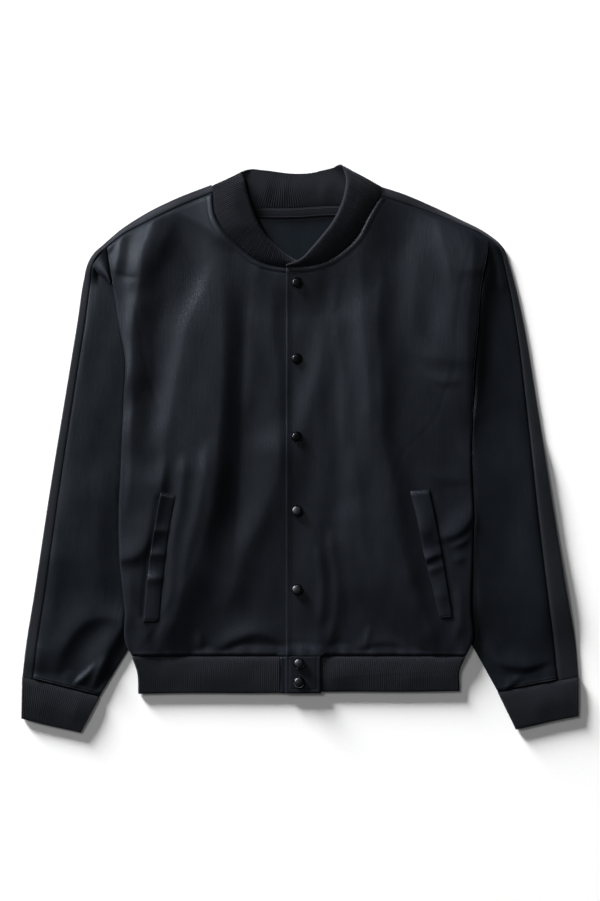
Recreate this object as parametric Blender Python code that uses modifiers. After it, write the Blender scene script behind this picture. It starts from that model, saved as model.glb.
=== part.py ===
"""A track jacket laid flat on a table, face up, in the pieces it is cut and sewn from.

All tables are in millimetres. The jacket lies on the plane z = 0 with its collar towards +Y.
Right and left are the wearer's, so the right side lies at -X. A cloth panel is a grid of
points on the middle of its cloth, worked out from its outline and from the number of
layers below it, and Solidify gives it its thickness.
"""

import math

import bmesh
import bpy
from mathutils import Vector

MM = 0.001

# Cloth and hardware
CLOTH = 1.4  # wall of the tricot
RIB = 2.2  # folded rib of collar, cuffs and hem
BLOCK = 2.2  # doubled tricot at the ends of the hem band
TAPE = 1.0  # neck tape
PLY = 2.0  # rise from one layer of cloth to the next
SEAM = 0.15  # each piece stops this far short of a seam
HEM_GAP = 0.45  # the same at the hem band, where the panels slope
TURN = 1.2  # how far a folded edge is drawn in above and below its middle
AIR = 1.0  # extra height of the fronts over the sleeves
LAY_ON = 0.3  # air between a panel and a piece that lies on it
WELT_AIR = 0.5  # extra air below a welt, whose panel curves between its points
LAP_AIR = 0.6  # extra height of the left front over the lap
RIB_AIR = 0.6  # air between two layers of rib or block
STRIPE = 40.0  # whole width of a stripe, front and back of its fold
LAP = 34.0  # width by which the left front laps over the right one
FRONT_EDGE = -18.5  # x of the left front's edge, on top
SNAP_R = 7.5
SNAP_H = 2.6
SNAP_SIDES = 12
SNAP_SPAN = 20.0  # a cap clears the cloth within this distance
# Profile of a cap from its crown to the middle of its underside: shares of radius and height
SNAP_PROFILE = [(0, 1), (0.5, 0.9), (0.85, 0.6), (1, 0.25), (0.96, 0), (0, 0)]

# Cells in the grids: neighbours share their stations, so that seams match
SIDE_ROWS = 13  # hem to underarm
ARMHOLE_ROWS = 8  # underarm to shoulder
NECK_ROWS = 7  # along each front's neck seam
FRONT_COLUMNS = 8  # front edge to side, and neck to armhole
BACK_NECK_COLUMNS = 7
SLEEVE_ROWS = 20
SLEEVE_COLUMNS = 5
HEAD_ROWS = 7  # of the sleeve's rows, shoulder to underarm
HEAD_SHARE = 0.15  # share of the back armhole seam along the sleeve's top edge
BAND_ROWS = 3  # across collar, cuffs and hem band
HEM_FRONT_COLUMNS = 7
HEM_BACK_COLUMNS = 14
BLOCK_COLUMNS = 4
CUFF_COLUMNS = 5

# Heights of folded rib, at the middle of each layer
RIB_LOW_Z = RIB / 2
RIB_HIGH_Z = 1.5 * RIB + RIB_AIR
UNDER_BLOCK_Z = RIB + RIB_AIR + BLOCK / 2
OVER_BLOCK_Z = UNDER_BLOCK_Z + BLOCK + RIB_AIR
HEM_TOP = -276.5
HEM_BOTTOM = -325.5
BLOCK_END = {"right": -26.0, "left": 28.5}
# Side folds of the hem band, top to bottom: x, y
HEM_SIDE = {
    "right": [(-222, HEM_TOP), (-215, -298.5), (-214, HEM_BOTTOM)],
    "left": [(220, HEM_TOP), (213, -292.5), (212.5, -322.5)],
}

# How the cloth eases from one height to another
COVER_EASE = (56.0, 14.0)  # inside the edge of the layers below a side: start, end
HEM_COVER = 236.0  # where that edge meets the hem, from the middle
UNDERARM_EASE = (84.0, 128.0)  # y between which the back comes down above the underarm
HEM_EASE = 45.0  # the fronts come down to the hem band over this length
LAP_EASE = (6.0, 40.0)  # past the lap: start, end
NECK_CENTRE = (-7.0, 336.0)
NECK_RISE = 3.2  # height that the collar adds to the cloth around it
NECK_EASE = (100.0, 165.0)  # distances from the neck's centre: start, end

# Visible edge of the body, hem to underarm and underarm to shoulder: x, y
SIDE_EDGE = {
    "right": [(-222, -276), (-230, -261), (-232, -213), (-239, -144), (-240, -91), (-237, -17),
              (-233, 72)],
    "left": [(221, -276), (229, -258), (228, -211), (230, -144), (231, -91), (228, -10),
             (231, 72)],
}
ARMHOLE_EDGE = {
    "right": [(-233, 72), (-231, 111), (-242, 176), (-246, 207), (-250, 221)],
    "left": [(231, 72), (232, 98), (237, 160), (242, 220), (248, 252), (252, 274)],
}
# How far the front turns under its edge, hem to shoulder: y, width
TURN_UNDER = {
    "right": [(-277, 3), (-144, 5), (-17, 9), (72, 18), (92, 9), (176, 6), (221, 3)],
    "left": [(-277, 3), (-144, 5), (-10, 9), (72, 18), (92, 9), (176, 7), (276, 3)],
}
ARMHOLE_STATIONS = 12  # read along the armhole for the sleeve below it
# Rows of the right front that end on the armhole seam, above the edge that turns under
RIDGE_ROWS = 2
# The edge where the head of the right sleeve folds under, stripe to armhole seam: x, y
HEAD_FOLD = [(-268, 236), (-251, 220)]
HEAD_TIP = 4.0  # the sleeve's head ends this far above the armhole edge
# Neck seam of the fronts, shoulder to front edge: x, y
NECK_SEAM = {
    "right": [(-111, 309), (-102, 293), (-87, 277), (-70, 261), (-51, 249), (-31, 244), (15, 241)],
    "left": [(99, 322), (90, 306), (76, 281), (58, 264), (37, 250), (14, 244), (-18, 242)],
}
BACK_NECK = [(-66, 320), (-15, 319), (39, 322)]
# Outer fold of the stripes, neck to armhole and armhole to cuff: x, y, width shown in front
STRIPE_ON_BODY = {
    "right": [(-119, 351, 10), (-165, 333, 11), (-207, 312, 10.5), (-239, 291, 7), (-261, 272, 6)],
    "left": [(112, 348, 11.5), (134, 341, 11.5), (177, 323, 8.5), (219, 303, 6.5),
             (241, 292, 5.5), (255, 283, 5)],
}
STRIPE_ON_SLEEVE = {
    "right": [(-261, 272, 6), (-274, 260, 6), (-282, 246, 7), (-287, 225, 9), (-295, 172, 10),
              (-308, 92, 10.5), (-332, -55, 12), (-354, -200, 13.5), (-363, -255, 14),
              (-369, -304, 14)],
    "left": [(255, 283, 5), (265, 275, 5), (273, 265, 5.5), (278, 250, 6), (285, 225, 7),
             (297, 172, 9), (315, 65, 13), (339, -85, 21), (358, -201, 26), (367, -255, 28),
             (371, -304, 27)],
}
# Station of the stripe at which each sleeve leaves the body, counted from the armhole
SLEEVE_START = {"right": 1, "left": 0}
# Underarm point, then the sleeve's inner fold down to the cuff, below the body: x, y
INNER_FOLD = {
    "right": [(-211, 72), (-207, 48), (-188, 22), (-161, -2), (-148, -40), (-149, -95),
              (-166, -155), (-199, -215), (-230, -269), (-267, -330)],
    "left": [(209, 72), (205, 48), (186, 22), (160, -2), (147, -40), (150, -95), (168, -155),
             (203, -215), (233, -266), (265, -324)],
}
# Ends of the cuff seam and of the cuff's edge, outside to inside: x, y
CUFF_SEAM = {"right": [(-369, -304), (-267, -330)], "left": [(371, -304), (265, -324)]}
CUFF_EDGE = {"right": [(-370, -359), (-292, -378)], "left": [(371, -356), (289, -373)]}

# Pocket welts, top to bottom: x of the edge at the opening, its y, x of the sewn edge, its y
WELT = {
    "right": [(-184.5, -58, -164, -61), (-191, -95, -171, -95), (-198, -137, -177, -137),
              (-203, -180, -182, -180), (-207.5, -231, -186.5, -231)],
    "left": [(172, -54, 147, -56), (181, -95, 157, -96), (189, -137, 165, -138),
             (196, -180, 176, -180), (203.5, -225, 187, -227)],
}
WELT_COLUMNS = 2
TAPE_DROPS = (1.5, 7.0, 12.5)  # edges and middle of the neck tape, below the neck seam
# Snap caps, top to bottom: x, y
SNAPS = [(-2.8, 221), (-3.3, 120), (-3.3, 16), (-3.3, -82), (-3.3, -187), (-0.7, -285),
         (-0.7, -310)]

# Large folds of the fronts: line from x0, y0 to x1, y1, half width, height
FOLDS = {
    "right": [(-139, 205, -170, 92, 26, 2.6), (-170, 92, -154, -25, 26, 2.6),
              (-22, 1, -93, -204, 22, 2.6)],
    "left": [(59, 231, 50, 144, 24, 2.4), (50, 144, 24, 31, 24, 2.4),
             (70, 195, 121, -60, 26, 2.4)],
}

# Folded edge of the collar: x, y and height, shoulder to front end and round the back neck
COLLAR_EDGE = {
    "right": [(-74, 358, 10), (-71, 346, 11.5), (-68, 333, 12.5), (-64, 322, 13), (-58, 306, 13),
              (-50, 290, 12.5), (-38, 276, 11), (-22, 262, 9), (-7, 251, 7), (2, 247, 6.2)],
    "left": [(62, 362, 12), (61.5, 346, 14), (57, 329, 15), (47, 306, 15), (33, 287, 14.5),
             (17, 268, 13.5), (2, 252.5, 12.5), (-9, 247, 11.5), (-17, 245, 10.5)],
    "back": [(-66, 372.5, 1.1), (-43, 371, 1.1), (-22, 368, 1.1), (-2, 366.5, 1.1), (18, 368, 1.1),
             (32, 371.5, 1.1), (44, 374.5, 1.1)],
}
# Where the collar turns over at each shoulder: seam x, y and height, edge x, y and height
COLLAR_TURN = {
    "right": (-116.5, 349.5, 3.4, -76.5, 367.5, 5.6),
    "left": (110, 347.5, 3.8, 54, 378, 6.8),
}

NAVY = (0.012, 0.015, 0.022)
CHARCOAL = (0.019, 0.021, 0.026)
BLACK_METAL = (0.02, 0.021, 0.024)


# ---- outlines and grids -----------------------------------------------------------------

def lerp(a, b, t):
    """The point a share t of the way from a to b."""
    return tuple(p + (q - p) * t for p, q in zip(a, b))


def look_up(table, at):
    """Read the second column of a table at a value of its rising first column."""
    if at <= table[0][0]:
        return table[0][1]
    for low, high in zip(table, table[1:]):
        if at <= high[0]:
            return lerp(low, high, (at - low[0]) / (high[0] - low[0]))[1]
    return table[-1][1]


def ramp(value, start, end):
    """Rise smoothly from 0 at start to 1 at end."""
    t = min(max((value - start) / (end - start), 0.0), 1.0)
    return t * t * (3 - 2 * t)


def spaced(points, count):
    """Read count + 1 points at even distances along a line through the points."""
    reach = [0.0]
    for a, b in zip(points, points[1:]):
        reach.append(reach[-1] + math.dist(a[:2], b[:2]))
    found = []
    leg = 0
    for i in range(count + 1):
        at = reach[-1] * i / count
        while leg < len(points) - 2 and reach[leg + 1] < at:
            leg += 1
        share = (at - reach[leg]) / (reach[leg + 1] - reach[leg])
        found.append(lerp(points[leg], points[leg + 1], min(share, 1.0)))
    return found


def inward(line, toward):
    """Unit vectors square to a line at each of its points, on the side given by toward."""
    normals = []
    for i in range(len(line)):
        a, b = line[max(i - 1, 0)], line[min(i + 1, len(line) - 1)]
        along = Vector((b[0] - a[0], b[1] - a[1])).normalized()
        normals.append(Vector((-along.y, along.x)) * toward)
    return normals


def moved(line, distance, toward):
    """A line moved sideways; distance is a number or one number for each point."""
    if not isinstance(distance, list):
        distance = [distance] * len(line)
    return [(p[0] + n.x * d, p[1] + n.y * d)
            for p, n, d in zip(line, inward(line, toward), distance)]


def patch(bottom, top, start, end):
    """Fill four edges with a grid: bottom and top run from start to end (Coons patch)."""
    columns, rows = len(bottom) - 1, len(start) - 1
    grid = []
    for j in range(rows + 1):
        v = j / rows
        row = []
        for i in range(columns + 1):
            u = i / columns
            across = lerp(start[j], end[j], u)
            upward = lerp(bottom[i], top[i], v)
            corner = lerp(lerp(bottom[0], bottom[-1], u), lerp(top[0], top[-1], u), v)
            row.append((across[0] + upward[0] - corner[0], across[1] + upward[1] - corner[1]))
        grid.append(row)
    return grid


def side_sign(side):
    """-1 on the wearer's right, +1 on the left."""
    return -1 if side == "right" else 1


# ---- heights: each layer lies on the ones below -------------------------------------------

def level(plies):
    """Middle height of cloth that lies on this many layers."""
    return CLOTH / 2 + PLY * plies


def cover_limit(side):
    """How far the layers below a front's side reach inwards: y, distance from the middle."""
    fold = [(y, abs(x)) for x, y in reversed(INNER_FOLD[side][1:-2])]
    turned = [(y, abs(x) - look_up(TURN_UNDER[side], y)) for x, y in ARMHOLE_EDGE[side]]
    return [(HEM_TOP, HEM_COVER)] + fold + turned


def side_lift(side, x, y):
    """1 where the sleeve lies below the side of the body, 0 in the middle."""
    reach = look_up(cover_limit(side), y)
    return ramp(abs(x), reach - COVER_EASE[0], reach - COVER_EASE[1])


def neck_rise(x, y):
    """The collar lifts the cloth around it."""
    return NECK_RISE * (1 - ramp(math.dist((x, y), NECK_CENTRE), *NECK_EASE))


def fold_rise(side, x, y):
    """Height that the large folds add at a point."""
    height = 0.0
    for x0, y0, x1, y1, width, rise in FOLDS[side]:
        ax, ay = x1 - x0, y1 - y0
        t = min(max(((x - x0) * ax + (y - y0) * ay) / (ax * ax + ay * ay), 0.0), 1.0)
        away = math.hypot(x - x0 - ax * t, y - y0 - ay * t)
        height = max(height, rise * math.exp(-((away / width) ** 2)))
    return height


def back_height(x, y):
    """The back lies on the table, and on the sleeves below its sides."""
    side = "right" if x < 0 else "left"
    below_underarm = 1 - ramp(y, *UNDERARM_EASE)
    return level(2 * side_lift(side, x, y) * below_underarm)


def front_height(side, x, y):
    """A front lies on the back, and the left one on the lap of the right one as well."""
    plies = 1 + 2 * side_lift(side, x, y)
    height = level(plies) + AIR * side_lift(side, x, y) + neck_rise(x, y) + fold_rise(side, x, y)
    height = max(height, RIB_HIGH_Z * (1 - ramp(y, HEM_TOP, HEM_TOP + HEM_EASE)))
    if side == "left":
        lap_end = FRONT_EDGE + LAP
        lap = 1 - ramp(x, lap_end + LAP_EASE[0], lap_end + LAP_EASE[1])
        height += (PLY + LAP_AIR + fold_rise("right", x, y)) * lap
    return height


def turned_under_height(side, x, y):
    """The strip of a front that turns under at its side lies one layer below it."""
    return level(2 * side_lift(side, x, y))


# ---- building -----------------------------------------------------------------------------

def material(name, colour, roughness, metallic=0.0):
    """A plain Principled material."""
    made = bpy.data.materials.new(name)
    made.use_nodes = True
    shader = made.node_tree.nodes["Principled BSDF"]
    shader.inputs["Base Color"].default_value = (*colour, 1.0)
    shader.inputs["Roughness"].default_value = roughness
    shader.inputs["Metallic"].default_value = metallic
    return made


def link_mesh(name, mesh, look, collection):
    """Put a mesh in the scene as a named object with its own material."""
    piece = bpy.data.objects.new(name, mesh)
    piece.data.materials.append(material(name + "_look", *look))
    collection.objects.link(piece)
    return piece


def sheet(name, rows, thickness, look, collection, ring=False):
    """Make a cloth piece from a grid of points, with gaps where a point is None."""
    mesh = bpy.data.meshes.new(name)
    work = bmesh.new()
    verts = [[point and work.verts.new([c * MM for c in point]) for point in row] for row in rows]
    width = len(rows[0])
    for j in range(len(rows) - 1):
        for i in range(width if ring else width - 1):
            k = (i + 1) % width
            corners = [verts[j][i], verts[j][k], verts[j + 1][k], verts[j + 1][i]]
            if all(corners):
                work.faces.new(corners)
    bmesh.ops.recalc_face_normals(work, faces=work.faces)
    work.to_mesh(mesh)
    work.free()
    mesh.shade_smooth()
    piece = link_mesh(name, mesh, look, collection)
    wall = piece.modifiers.new("Wall", "SOLIDIFY")
    wall.thickness = thickness * MM
    wall.offset = 0
    return piece


def folded_edge(line, top, below, outward):
    """Three rows of points that turn a folded edge from its top layer to the one below."""
    turned = [[], [], []]
    for point, normal, high, low in zip(line, inward(line, outward), top, below):
        x, y = point[0] - normal.x * TURN, point[1] - normal.y * TURN
        turned[0].append((x, y, high))
        turned[1].append((point[0], point[1], (high + low) / 2))
        turned[2].append((x, y, low))
    return turned


# ---- the pieces ---------------------------------------------------------------------------

def stripe_lines(side):
    """The stripe's fold, front seam and back seam, each a line of stations, neck to cuff."""
    on_body = spaced(STRIPE_ON_BODY[side], FRONT_COLUMNS)
    on_sleeve = spaced(STRIPE_ON_SLEEVE[side], SLEEVE_ROWS)
    stations = on_body + on_sleeve[1:]
    toward = -side_sign(side)
    fold = [(x, y) for x, y, _ in stations]
    shown = [width for _, _, width in stations]
    hidden = [STRIPE - width for width in shown]
    lines = [fold, moved(fold, shown, toward), moved(fold, hidden, toward)]
    for line in lines:
        line[-1] = on_cuff_seam(side, line[-1][0])
    return lines


def on_cuff_seam(side, x):
    """The point of the cuff seam at an x."""
    (x0, y0), (x1, y1) = CUFF_SEAM[side]
    return x, y0 + (y1 - y0) * (x - x0) / (x1 - x0)


def neck_line(side):
    """Stations along a front's neck seam, shoulder to front edge."""
    return spaced([stripe_lines(side)[1][0]] + NECK_SEAM[side], NECK_ROWS)


def back_neck_line():
    """Stations along the back neck seam, right to left."""
    ends = [stripe_lines(side)[2][0] for side in ("right", "left")]
    return spaced([ends[0]] + BACK_NECK + [ends[1]], BACK_NECK_COLUMNS)


def turned_under_line(side, line):
    """The inner edge of the strip that turns under at the side of a front."""
    widths = [look_up(TURN_UNDER[side], y) for _, y in line]
    inner_edge = moved(line, widths, side_sign(side))
    if line[0][1] < SIDE_EDGE[side][1][1]:
        inner_edge[0] = (inner_edge[0][0], HEM_TOP + HEM_GAP)
    return inner_edge


def front(side, collection):
    """A front: hem to shoulder, front edge to side, with the strip turned under its side."""
    sign = side_sign(side)
    ridge_rows = RIDGE_ROWS if side == "right" else 0
    shoulder = moved(stripe_lines(side)[1][:FRONT_COLUMNS + 1], SEAM, -sign)
    edge_line = spaced(SIDE_EDGE[side], SIDE_ROWS)
    edge_line += spaced(ARMHOLE_EDGE[side], ARMHOLE_ROWS - ridge_rows)[1:]
    outer = moved(edge_line, TURN, sign)
    if ridge_rows:
        outer += spaced([outer[-1], shoulder[-1]], ridge_rows)[1:]
    outer[-1] = shoulder[-1]
    neck = list(reversed(neck_line(side)))
    rows = SIDE_ROWS + ARMHOLE_ROWS
    edge = spaced([(neck[0][0], HEM_TOP), neck[0]], rows - NECK_ROWS)
    inner = edge + neck[1:]
    inner[-1] = shoulder[0]
    hem = spaced([inner[0], outer[0]], FRONT_COLUMNS)
    hem = [(x, HEM_TOP + HEM_GAP) for x, _ in hem]
    inner[0], outer[0] = hem[0], hem[-1]
    grid = [[(x, y, front_height(side, x, y)) for x, y in row]
            for row in patch(hem, shoulder, inner, outer)]
    ends = turned_under_line(side, edge_line)
    for j, row in enumerate(grid):
        if j >= len(edge_line):
            row.extend([None, None, None])
            continue
        (x, y), (end_x, end_y) = edge_line[j], ends[j]
        low = turned_under_height(side, x, y)
        row.append((x, y, (row[-1][2] + low) / 2))
        row.append((*outer[j], low))
        row.append((end_x, end_y, low))
    return sheet("front_" + side, grid, CLOTH, (NAVY, 0.5), collection)


def stripe(side, collection):
    """A stripe: one strip from neck to cuff, folded along the jacket's outline."""
    sign = side_sign(side)
    fold, front_seam, back_seam = stripe_lines(side)
    shown = moved(front_seam, SEAM, sign)
    hidden = moved(back_seam, SEAM, sign)
    leaves = FRONT_COLUMNS + SLEEVE_START[side]
    high = [front_height(side, *point) if i <= leaves else level(1)
            for i, point in enumerate(front_seam)]
    low = [level(0)] * len(high)
    grid = [[(*a, h) for a, h in zip(shown, high)],
            *folded_edge(fold, high, low, sign),
            [(*a, h) for a, h in zip(hidden, low)]]
    return sheet("stripe_" + side, grid, CLOTH, (CHARCOAL, 0.85), collection)


def sleeve(side, collection):
    """A sleeve: front layer, fold under the body, back layer, open at armhole and cuff."""
    sign = side_sign(side)
    _, front_seam, back_seam = stripe_lines(side)
    first = FRONT_COLUMNS + SLEEVE_START[side]
    outer = moved(front_seam, SEAM, -sign)[first:]
    back_outer = moved(back_seam, SEAM, -sign)[first:]
    fold = spaced(INNER_FOLD[side], len(outer) - 1 - HEAD_ROWS)
    turned_under = turned_under_line(side, spaced(ARMHOLE_EDGE[side], ARMHOLE_STATIONS))
    head = HEAD_FOLD if side == "right" else [turned_under[-2]]
    top_edge = spaced([outer[0]] + head, SLEEVE_COLUMNS)
    armhole = spaced(head[-1:] + turned_under[-3:0:-1] + fold[:1], HEAD_ROWS)
    back_top = spaced([back_outer[0], lerp(back_outer[0], fold[0], HEAD_SHARE)], SLEEVE_COLUMNS)
    back_armhole = spaced([back_top[-1], fold[0]], HEAD_ROWS)
    cuff_seam = spaced([outer[-1], fold[-1]], SLEEVE_COLUMNS)
    back_cuff = spaced([back_outer[-1], fold[-1]], SLEEVE_COLUMNS)
    top = patch(top_edge, cuff_seam, outer, armhole[:-1] + fold)
    below = patch(back_top, back_cuff, back_outer, back_armhole[:-1] + fold)
    turned = folded_edge(fold, [level(1)] * len(fold), [level(0)] * len(fold), -sign)
    grid = []
    for j in range(len(outer)):
        row = [(x, y, level(1)) for x, y in top[j][:-1]]
        if j < HEAD_ROWS:
            row += [(*top[j][-1], level(1)), None, (*below[j][-1], level(0))]
        else:
            row += [line[j - HEAD_ROWS] for line in turned]
        row += [(x, y, level(0)) for x, y in reversed(below[j][:-1])]
        grid.append(row)
    if side == "right":
        grid = sleeve_head(front_seam, top_edge, len(grid[0])) + grid
    return sheet("sleeve_" + side, grid, CLOTH, (NAVY, 0.55), collection)


def sleeve_head(front_seam, fold, width):
    """The head of the right sleeve, which shows above the edge where it folds under."""
    seam_top = moved(front_seam, HEM_GAP, 1)[FRONT_COLUMNS]
    ridge = spaced([seam_top, ARMHOLE_EDGE["right"][-1]], SLEEVE_COLUMNS)
    ridge = [(x - TURN, y) for x, y in ridge]
    ridge[-1] = (ridge[-1][0], ridge[-1][1] + HEAD_TIP)
    rows = []
    for line in (ridge, fold):
        row = [(x, y, front_height("right", x, y)) for x, y in line]
        row[0] = (row[0][0] + HEM_GAP, row[0][1] - HEM_GAP, row[0][2])
        rows.append(row + [None] * (width - len(row)))
    return rows


def back(collection):
    """The back: one panel between the side seams, stripes and back neck."""
    sides, shoulders = {}, {}
    for side in ("right", "left"):
        sign = side_sign(side)
        last = FRONT_COLUMNS + SLEEVE_START[side]
        shoulders[side] = moved(stripe_lines(side)[2][:last + 1], SEAM, -sign)
        corner_x, corner_y = shoulders[side][-1]
        shoulders[side][-1] = (corner_x - sign * 2 * HEM_GAP, corner_y)
        seam = turned_under_line(side, spaced(SIDE_EDGE[side], SIDE_ROWS))
        seam = moved(seam, 2 * SEAM, sign)
        armhole = spaced([INNER_FOLD[side][0], shoulders[side][-1]], ARMHOLE_ROWS)
        sides[side] = seam + moved(armhole, 2 * SEAM, sign)[1:]
        sides[side][-1] = shoulders[side][-1]
    neck = [(x, y - SEAM) for x, y in back_neck_line()]
    top = shoulders["right"][::-1] + neck[1:-1] + shoulders["left"]
    hem = spaced([sides["right"][0], sides["left"][0]], len(top) - 1)
    hem = [(x, HEM_TOP + HEM_GAP) for x, _ in hem]
    for side, at in (("right", 0), ("left", -1)):
        sides[side][0] = hem[at]
    flat = patch(hem, top, sides["right"], sides["left"])
    grid = [[(x, y, back_height(x, y)) for x, y in row] for row in flat]
    return sheet("back", grid, CLOTH, (NAVY, 0.55), collection)


def hem_rib(collection):
    """The hem band: from the right block round the back to the left block."""
    starts = {"right": BLOCK_END["right"] - SEAM, "left": BLOCK_END["left"] + SEAM}
    middle_z = (RIB_HIGH_Z + RIB_LOW_Z) / 2
    right_fold = spaced(HEM_SIDE["right"], BAND_ROWS)
    left_fold = spaced(HEM_SIDE["left"], BAND_ROWS)
    grid = []
    for j, ((right_x, right_y), (left_x, left_y)) in enumerate(zip(right_fold, left_fold)):
        right_end = (right_x + TURN, right_y)
        left_end = (left_x - TURN, left_y)
        in_front = {"right": spaced([(starts["right"], right_y), right_end], HEM_FRONT_COLUMNS),
                    "left": spaced([left_end, (starts["left"], left_y)], HEM_FRONT_COLUMNS)}
        row = [(*p, RIB_HIGH_Z) for p in in_front["right"]]
        row.append((right_x, right_y, middle_z))
        row += [(*p, RIB_LOW_Z) for p in spaced([right_end, left_end], HEM_BACK_COLUMNS)]
        row.append((left_x, left_y, middle_z))
        row += [(*p, RIB_HIGH_Z) for p in in_front["left"]]
        eased = (1 - j / BAND_ROWS) ** 2
        grid.append([(x, y - SEAM, z + hem_lift(x) * eased) for x, y, z in row])
    return sheet("hem_rib", grid, RIB, (CHARCOAL, 0.9), collection)


def hem_lift(x):
    """The top of the band rises with the body where the sleeves lie below it."""
    return 2 * PLY * side_lift("right" if x < 0 else "left", x, HEM_TOP)


def hem_block(side, collection):
    """A tricot block at an end of the hem band; the left one lies over the right one."""
    ends = {"right": (BLOCK_END["right"], FRONT_EDGE + LAP), "left": (FRONT_EDGE, BLOCK_END["left"])}
    height = UNDER_BLOCK_Z if side == "right" else OVER_BLOCK_Z
    grid = []
    for y in (HEM_TOP - SEAM, (HEM_TOP + HEM_BOTTOM) / 2, HEM_BOTTOM):
        across = spaced([(x, y) for x in ends[side]], BLOCK_COLUMNS)
        grid.append([(*p, height) for p in across])
    return sheet("hem_block_" + side, grid, BLOCK, (NAVY, 0.5), collection)


def cuff(side, collection):
    """A cuff: a flattened rib tube."""
    seam = [(x, y - SEAM) for x, y in spaced(CUFF_SEAM[side], CUFF_COLUMNS)]
    edge = spaced(CUFF_EDGE[side], CUFF_COLUMNS)
    middle_z = (RIB_HIGH_Z + RIB_LOW_Z) / 2
    grid = []
    for j in range(BAND_ROWS + 1):
        line = [lerp(a, b, j / BAND_ROWS) for a, b in zip(seam, edge)]
        across = Vector((line[-1][0] - line[0][0], line[-1][1] - line[0][1])).normalized() * TURN
        inset = [(line[0][0] + across.x, line[0][1] + across.y), *line[1:-1],
                 (line[-1][0] - across.x, line[-1][1] - across.y)]
        row = [(*p, RIB_HIGH_Z) for p in inset]
        row.append((*line[-1], middle_z))
        row += [(*p, RIB_LOW_Z) for p in reversed(inset)]
        row.append((*line[0], middle_z))
        grid.append(row)
    return sheet("cuff_" + side, grid, RIB, (CHARCOAL, 0.9), collection, ring=True)


def collar_sections():
    """Sections of the collar, seam to folded edge, from its right end to its left end."""
    arms = {}
    for side in ("right", "left"):
        seam = moved(neck_line(side), 3 * SEAM, -side_sign(side))
        seam = [(x, y, front_height(side, x, y)) for x, y in seam]
        arms[side] = list(zip(seam, spaced(COLLAR_EDGE[side], NECK_ROWS)))
    seam = [(x, y + 2 * SEAM, RIB_LOW_Z) for x, y in back_neck_line()]
    behind = list(zip(seam, spaced(COLLAR_EDGE["back"], BACK_NECK_COLUMNS)))
    turns = {side: [(COLLAR_TURN[side][:3], COLLAR_TURN[side][3:])] for side in arms}
    return arms["right"][::-1] + turns["right"] + behind + turns["left"] + arms["left"]


def collar(collection):
    """The collar: a folded rib band that turns over at each shoulder."""
    grid = [[lerp(seam, edge, i / BAND_ROWS) for seam, edge in collar_sections()]
            for i in range(BAND_ROWS + 1)]
    return sheet("collar", grid, RIB, (CHARCOAL, 0.9), collection)


def neck_tape(collection):
    """The tape over the back neck seam, inside."""
    line = back_neck_line()[1:-1]
    height = CLOTH + LAY_ON + TAPE / 2
    grid = [[(x, y - drop, height) for x, y in line] for drop in TAPE_DROPS]
    return sheet("neck_tape", grid, TAPE, (CHARCOAL, 0.9), collection)


def pocket_welt(side, collection):
    """A welt: its points lie on the front, moved out by its own thickness."""
    lift = CLOTH + LAY_ON + WELT_AIR
    rows = []
    for open_x, open_y, sewn_x, sewn_y in WELT[side]:
        line = spaced([(open_x, open_y), (sewn_x, sewn_y)], WELT_COLUMNS)
        rows.append([(x, y, front_height(side, x, y) + lift) for x, y in line])
    return sheet("pocket_welt_" + side, rows, CLOTH, (NAVY, 0.5), collection)


def snap(number, x, y, collection):
    """A snap cap: a low dome turned about its own axis."""
    around = ((0, 0), (SNAP_SPAN, 0), (-SNAP_R, 0), (0, SNAP_SPAN), (0, -SNAP_SPAN))
    base = max(front_height("left", x + dx, y + dy) for dx, dy in around) + CLOTH / 2
    if y < HEM_TOP:
        base = OVER_BLOCK_Z + BLOCK / 2
    profile = [(r * SNAP_R * MM, 0, z * SNAP_H * MM) for r, z in SNAP_PROFILE]
    mesh = bpy.data.meshes.new(f"snap_{number}")
    mesh.from_pydata(profile, [(i, i + 1) for i in range(len(profile) - 1)], [])
    piece = link_mesh(f"snap_{number}", mesh, (BLACK_METAL, 0.25, 0.9), collection)
    piece.location = (x * MM, y * MM, (base + LAY_ON) * MM)
    turn = piece.modifiers.new("Turn", "SCREW")
    turn.steps = turn.render_steps = SNAP_SIDES
    turn.use_merge_vertices = True
    turn.merge_threshold = 0.00001
    turn.use_smooth_shade = True
    return piece


def main():
    for old in list(bpy.data.objects):
        bpy.data.objects.remove(old)
    jacket = bpy.data.collections.new("Track jacket")
    bpy.context.scene.collection.children.link(jacket)
    back(jacket)
    for side in ("right", "left"):
        front(side, jacket)
        sleeve(side, jacket)
        stripe(side, jacket)
        cuff(side, jacket)
        hem_block(side, jacket)
        pocket_welt(side, jacket)
    hem_rib(jacket)
    collar(jacket)
    neck_tape(jacket)
    for number, (x, y) in enumerate(SNAPS, 1):
        snap(number, x, y, jacket)


main()
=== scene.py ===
"""The looks of a track jacket laid flat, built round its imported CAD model.

All tables are in millimetres, and the outlines repeat those of the part's source. The jacket
lies on the plane z = 0 with its collar towards +Y. Right and left are the wearer's, so the right
side lies at -X. Each cloth piece is a fine grid of points on the middle of its cloth, and Solidify
gives it its thickness. Creases are rows of a table: a line, its two half widths and a height.
"""

import math

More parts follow.
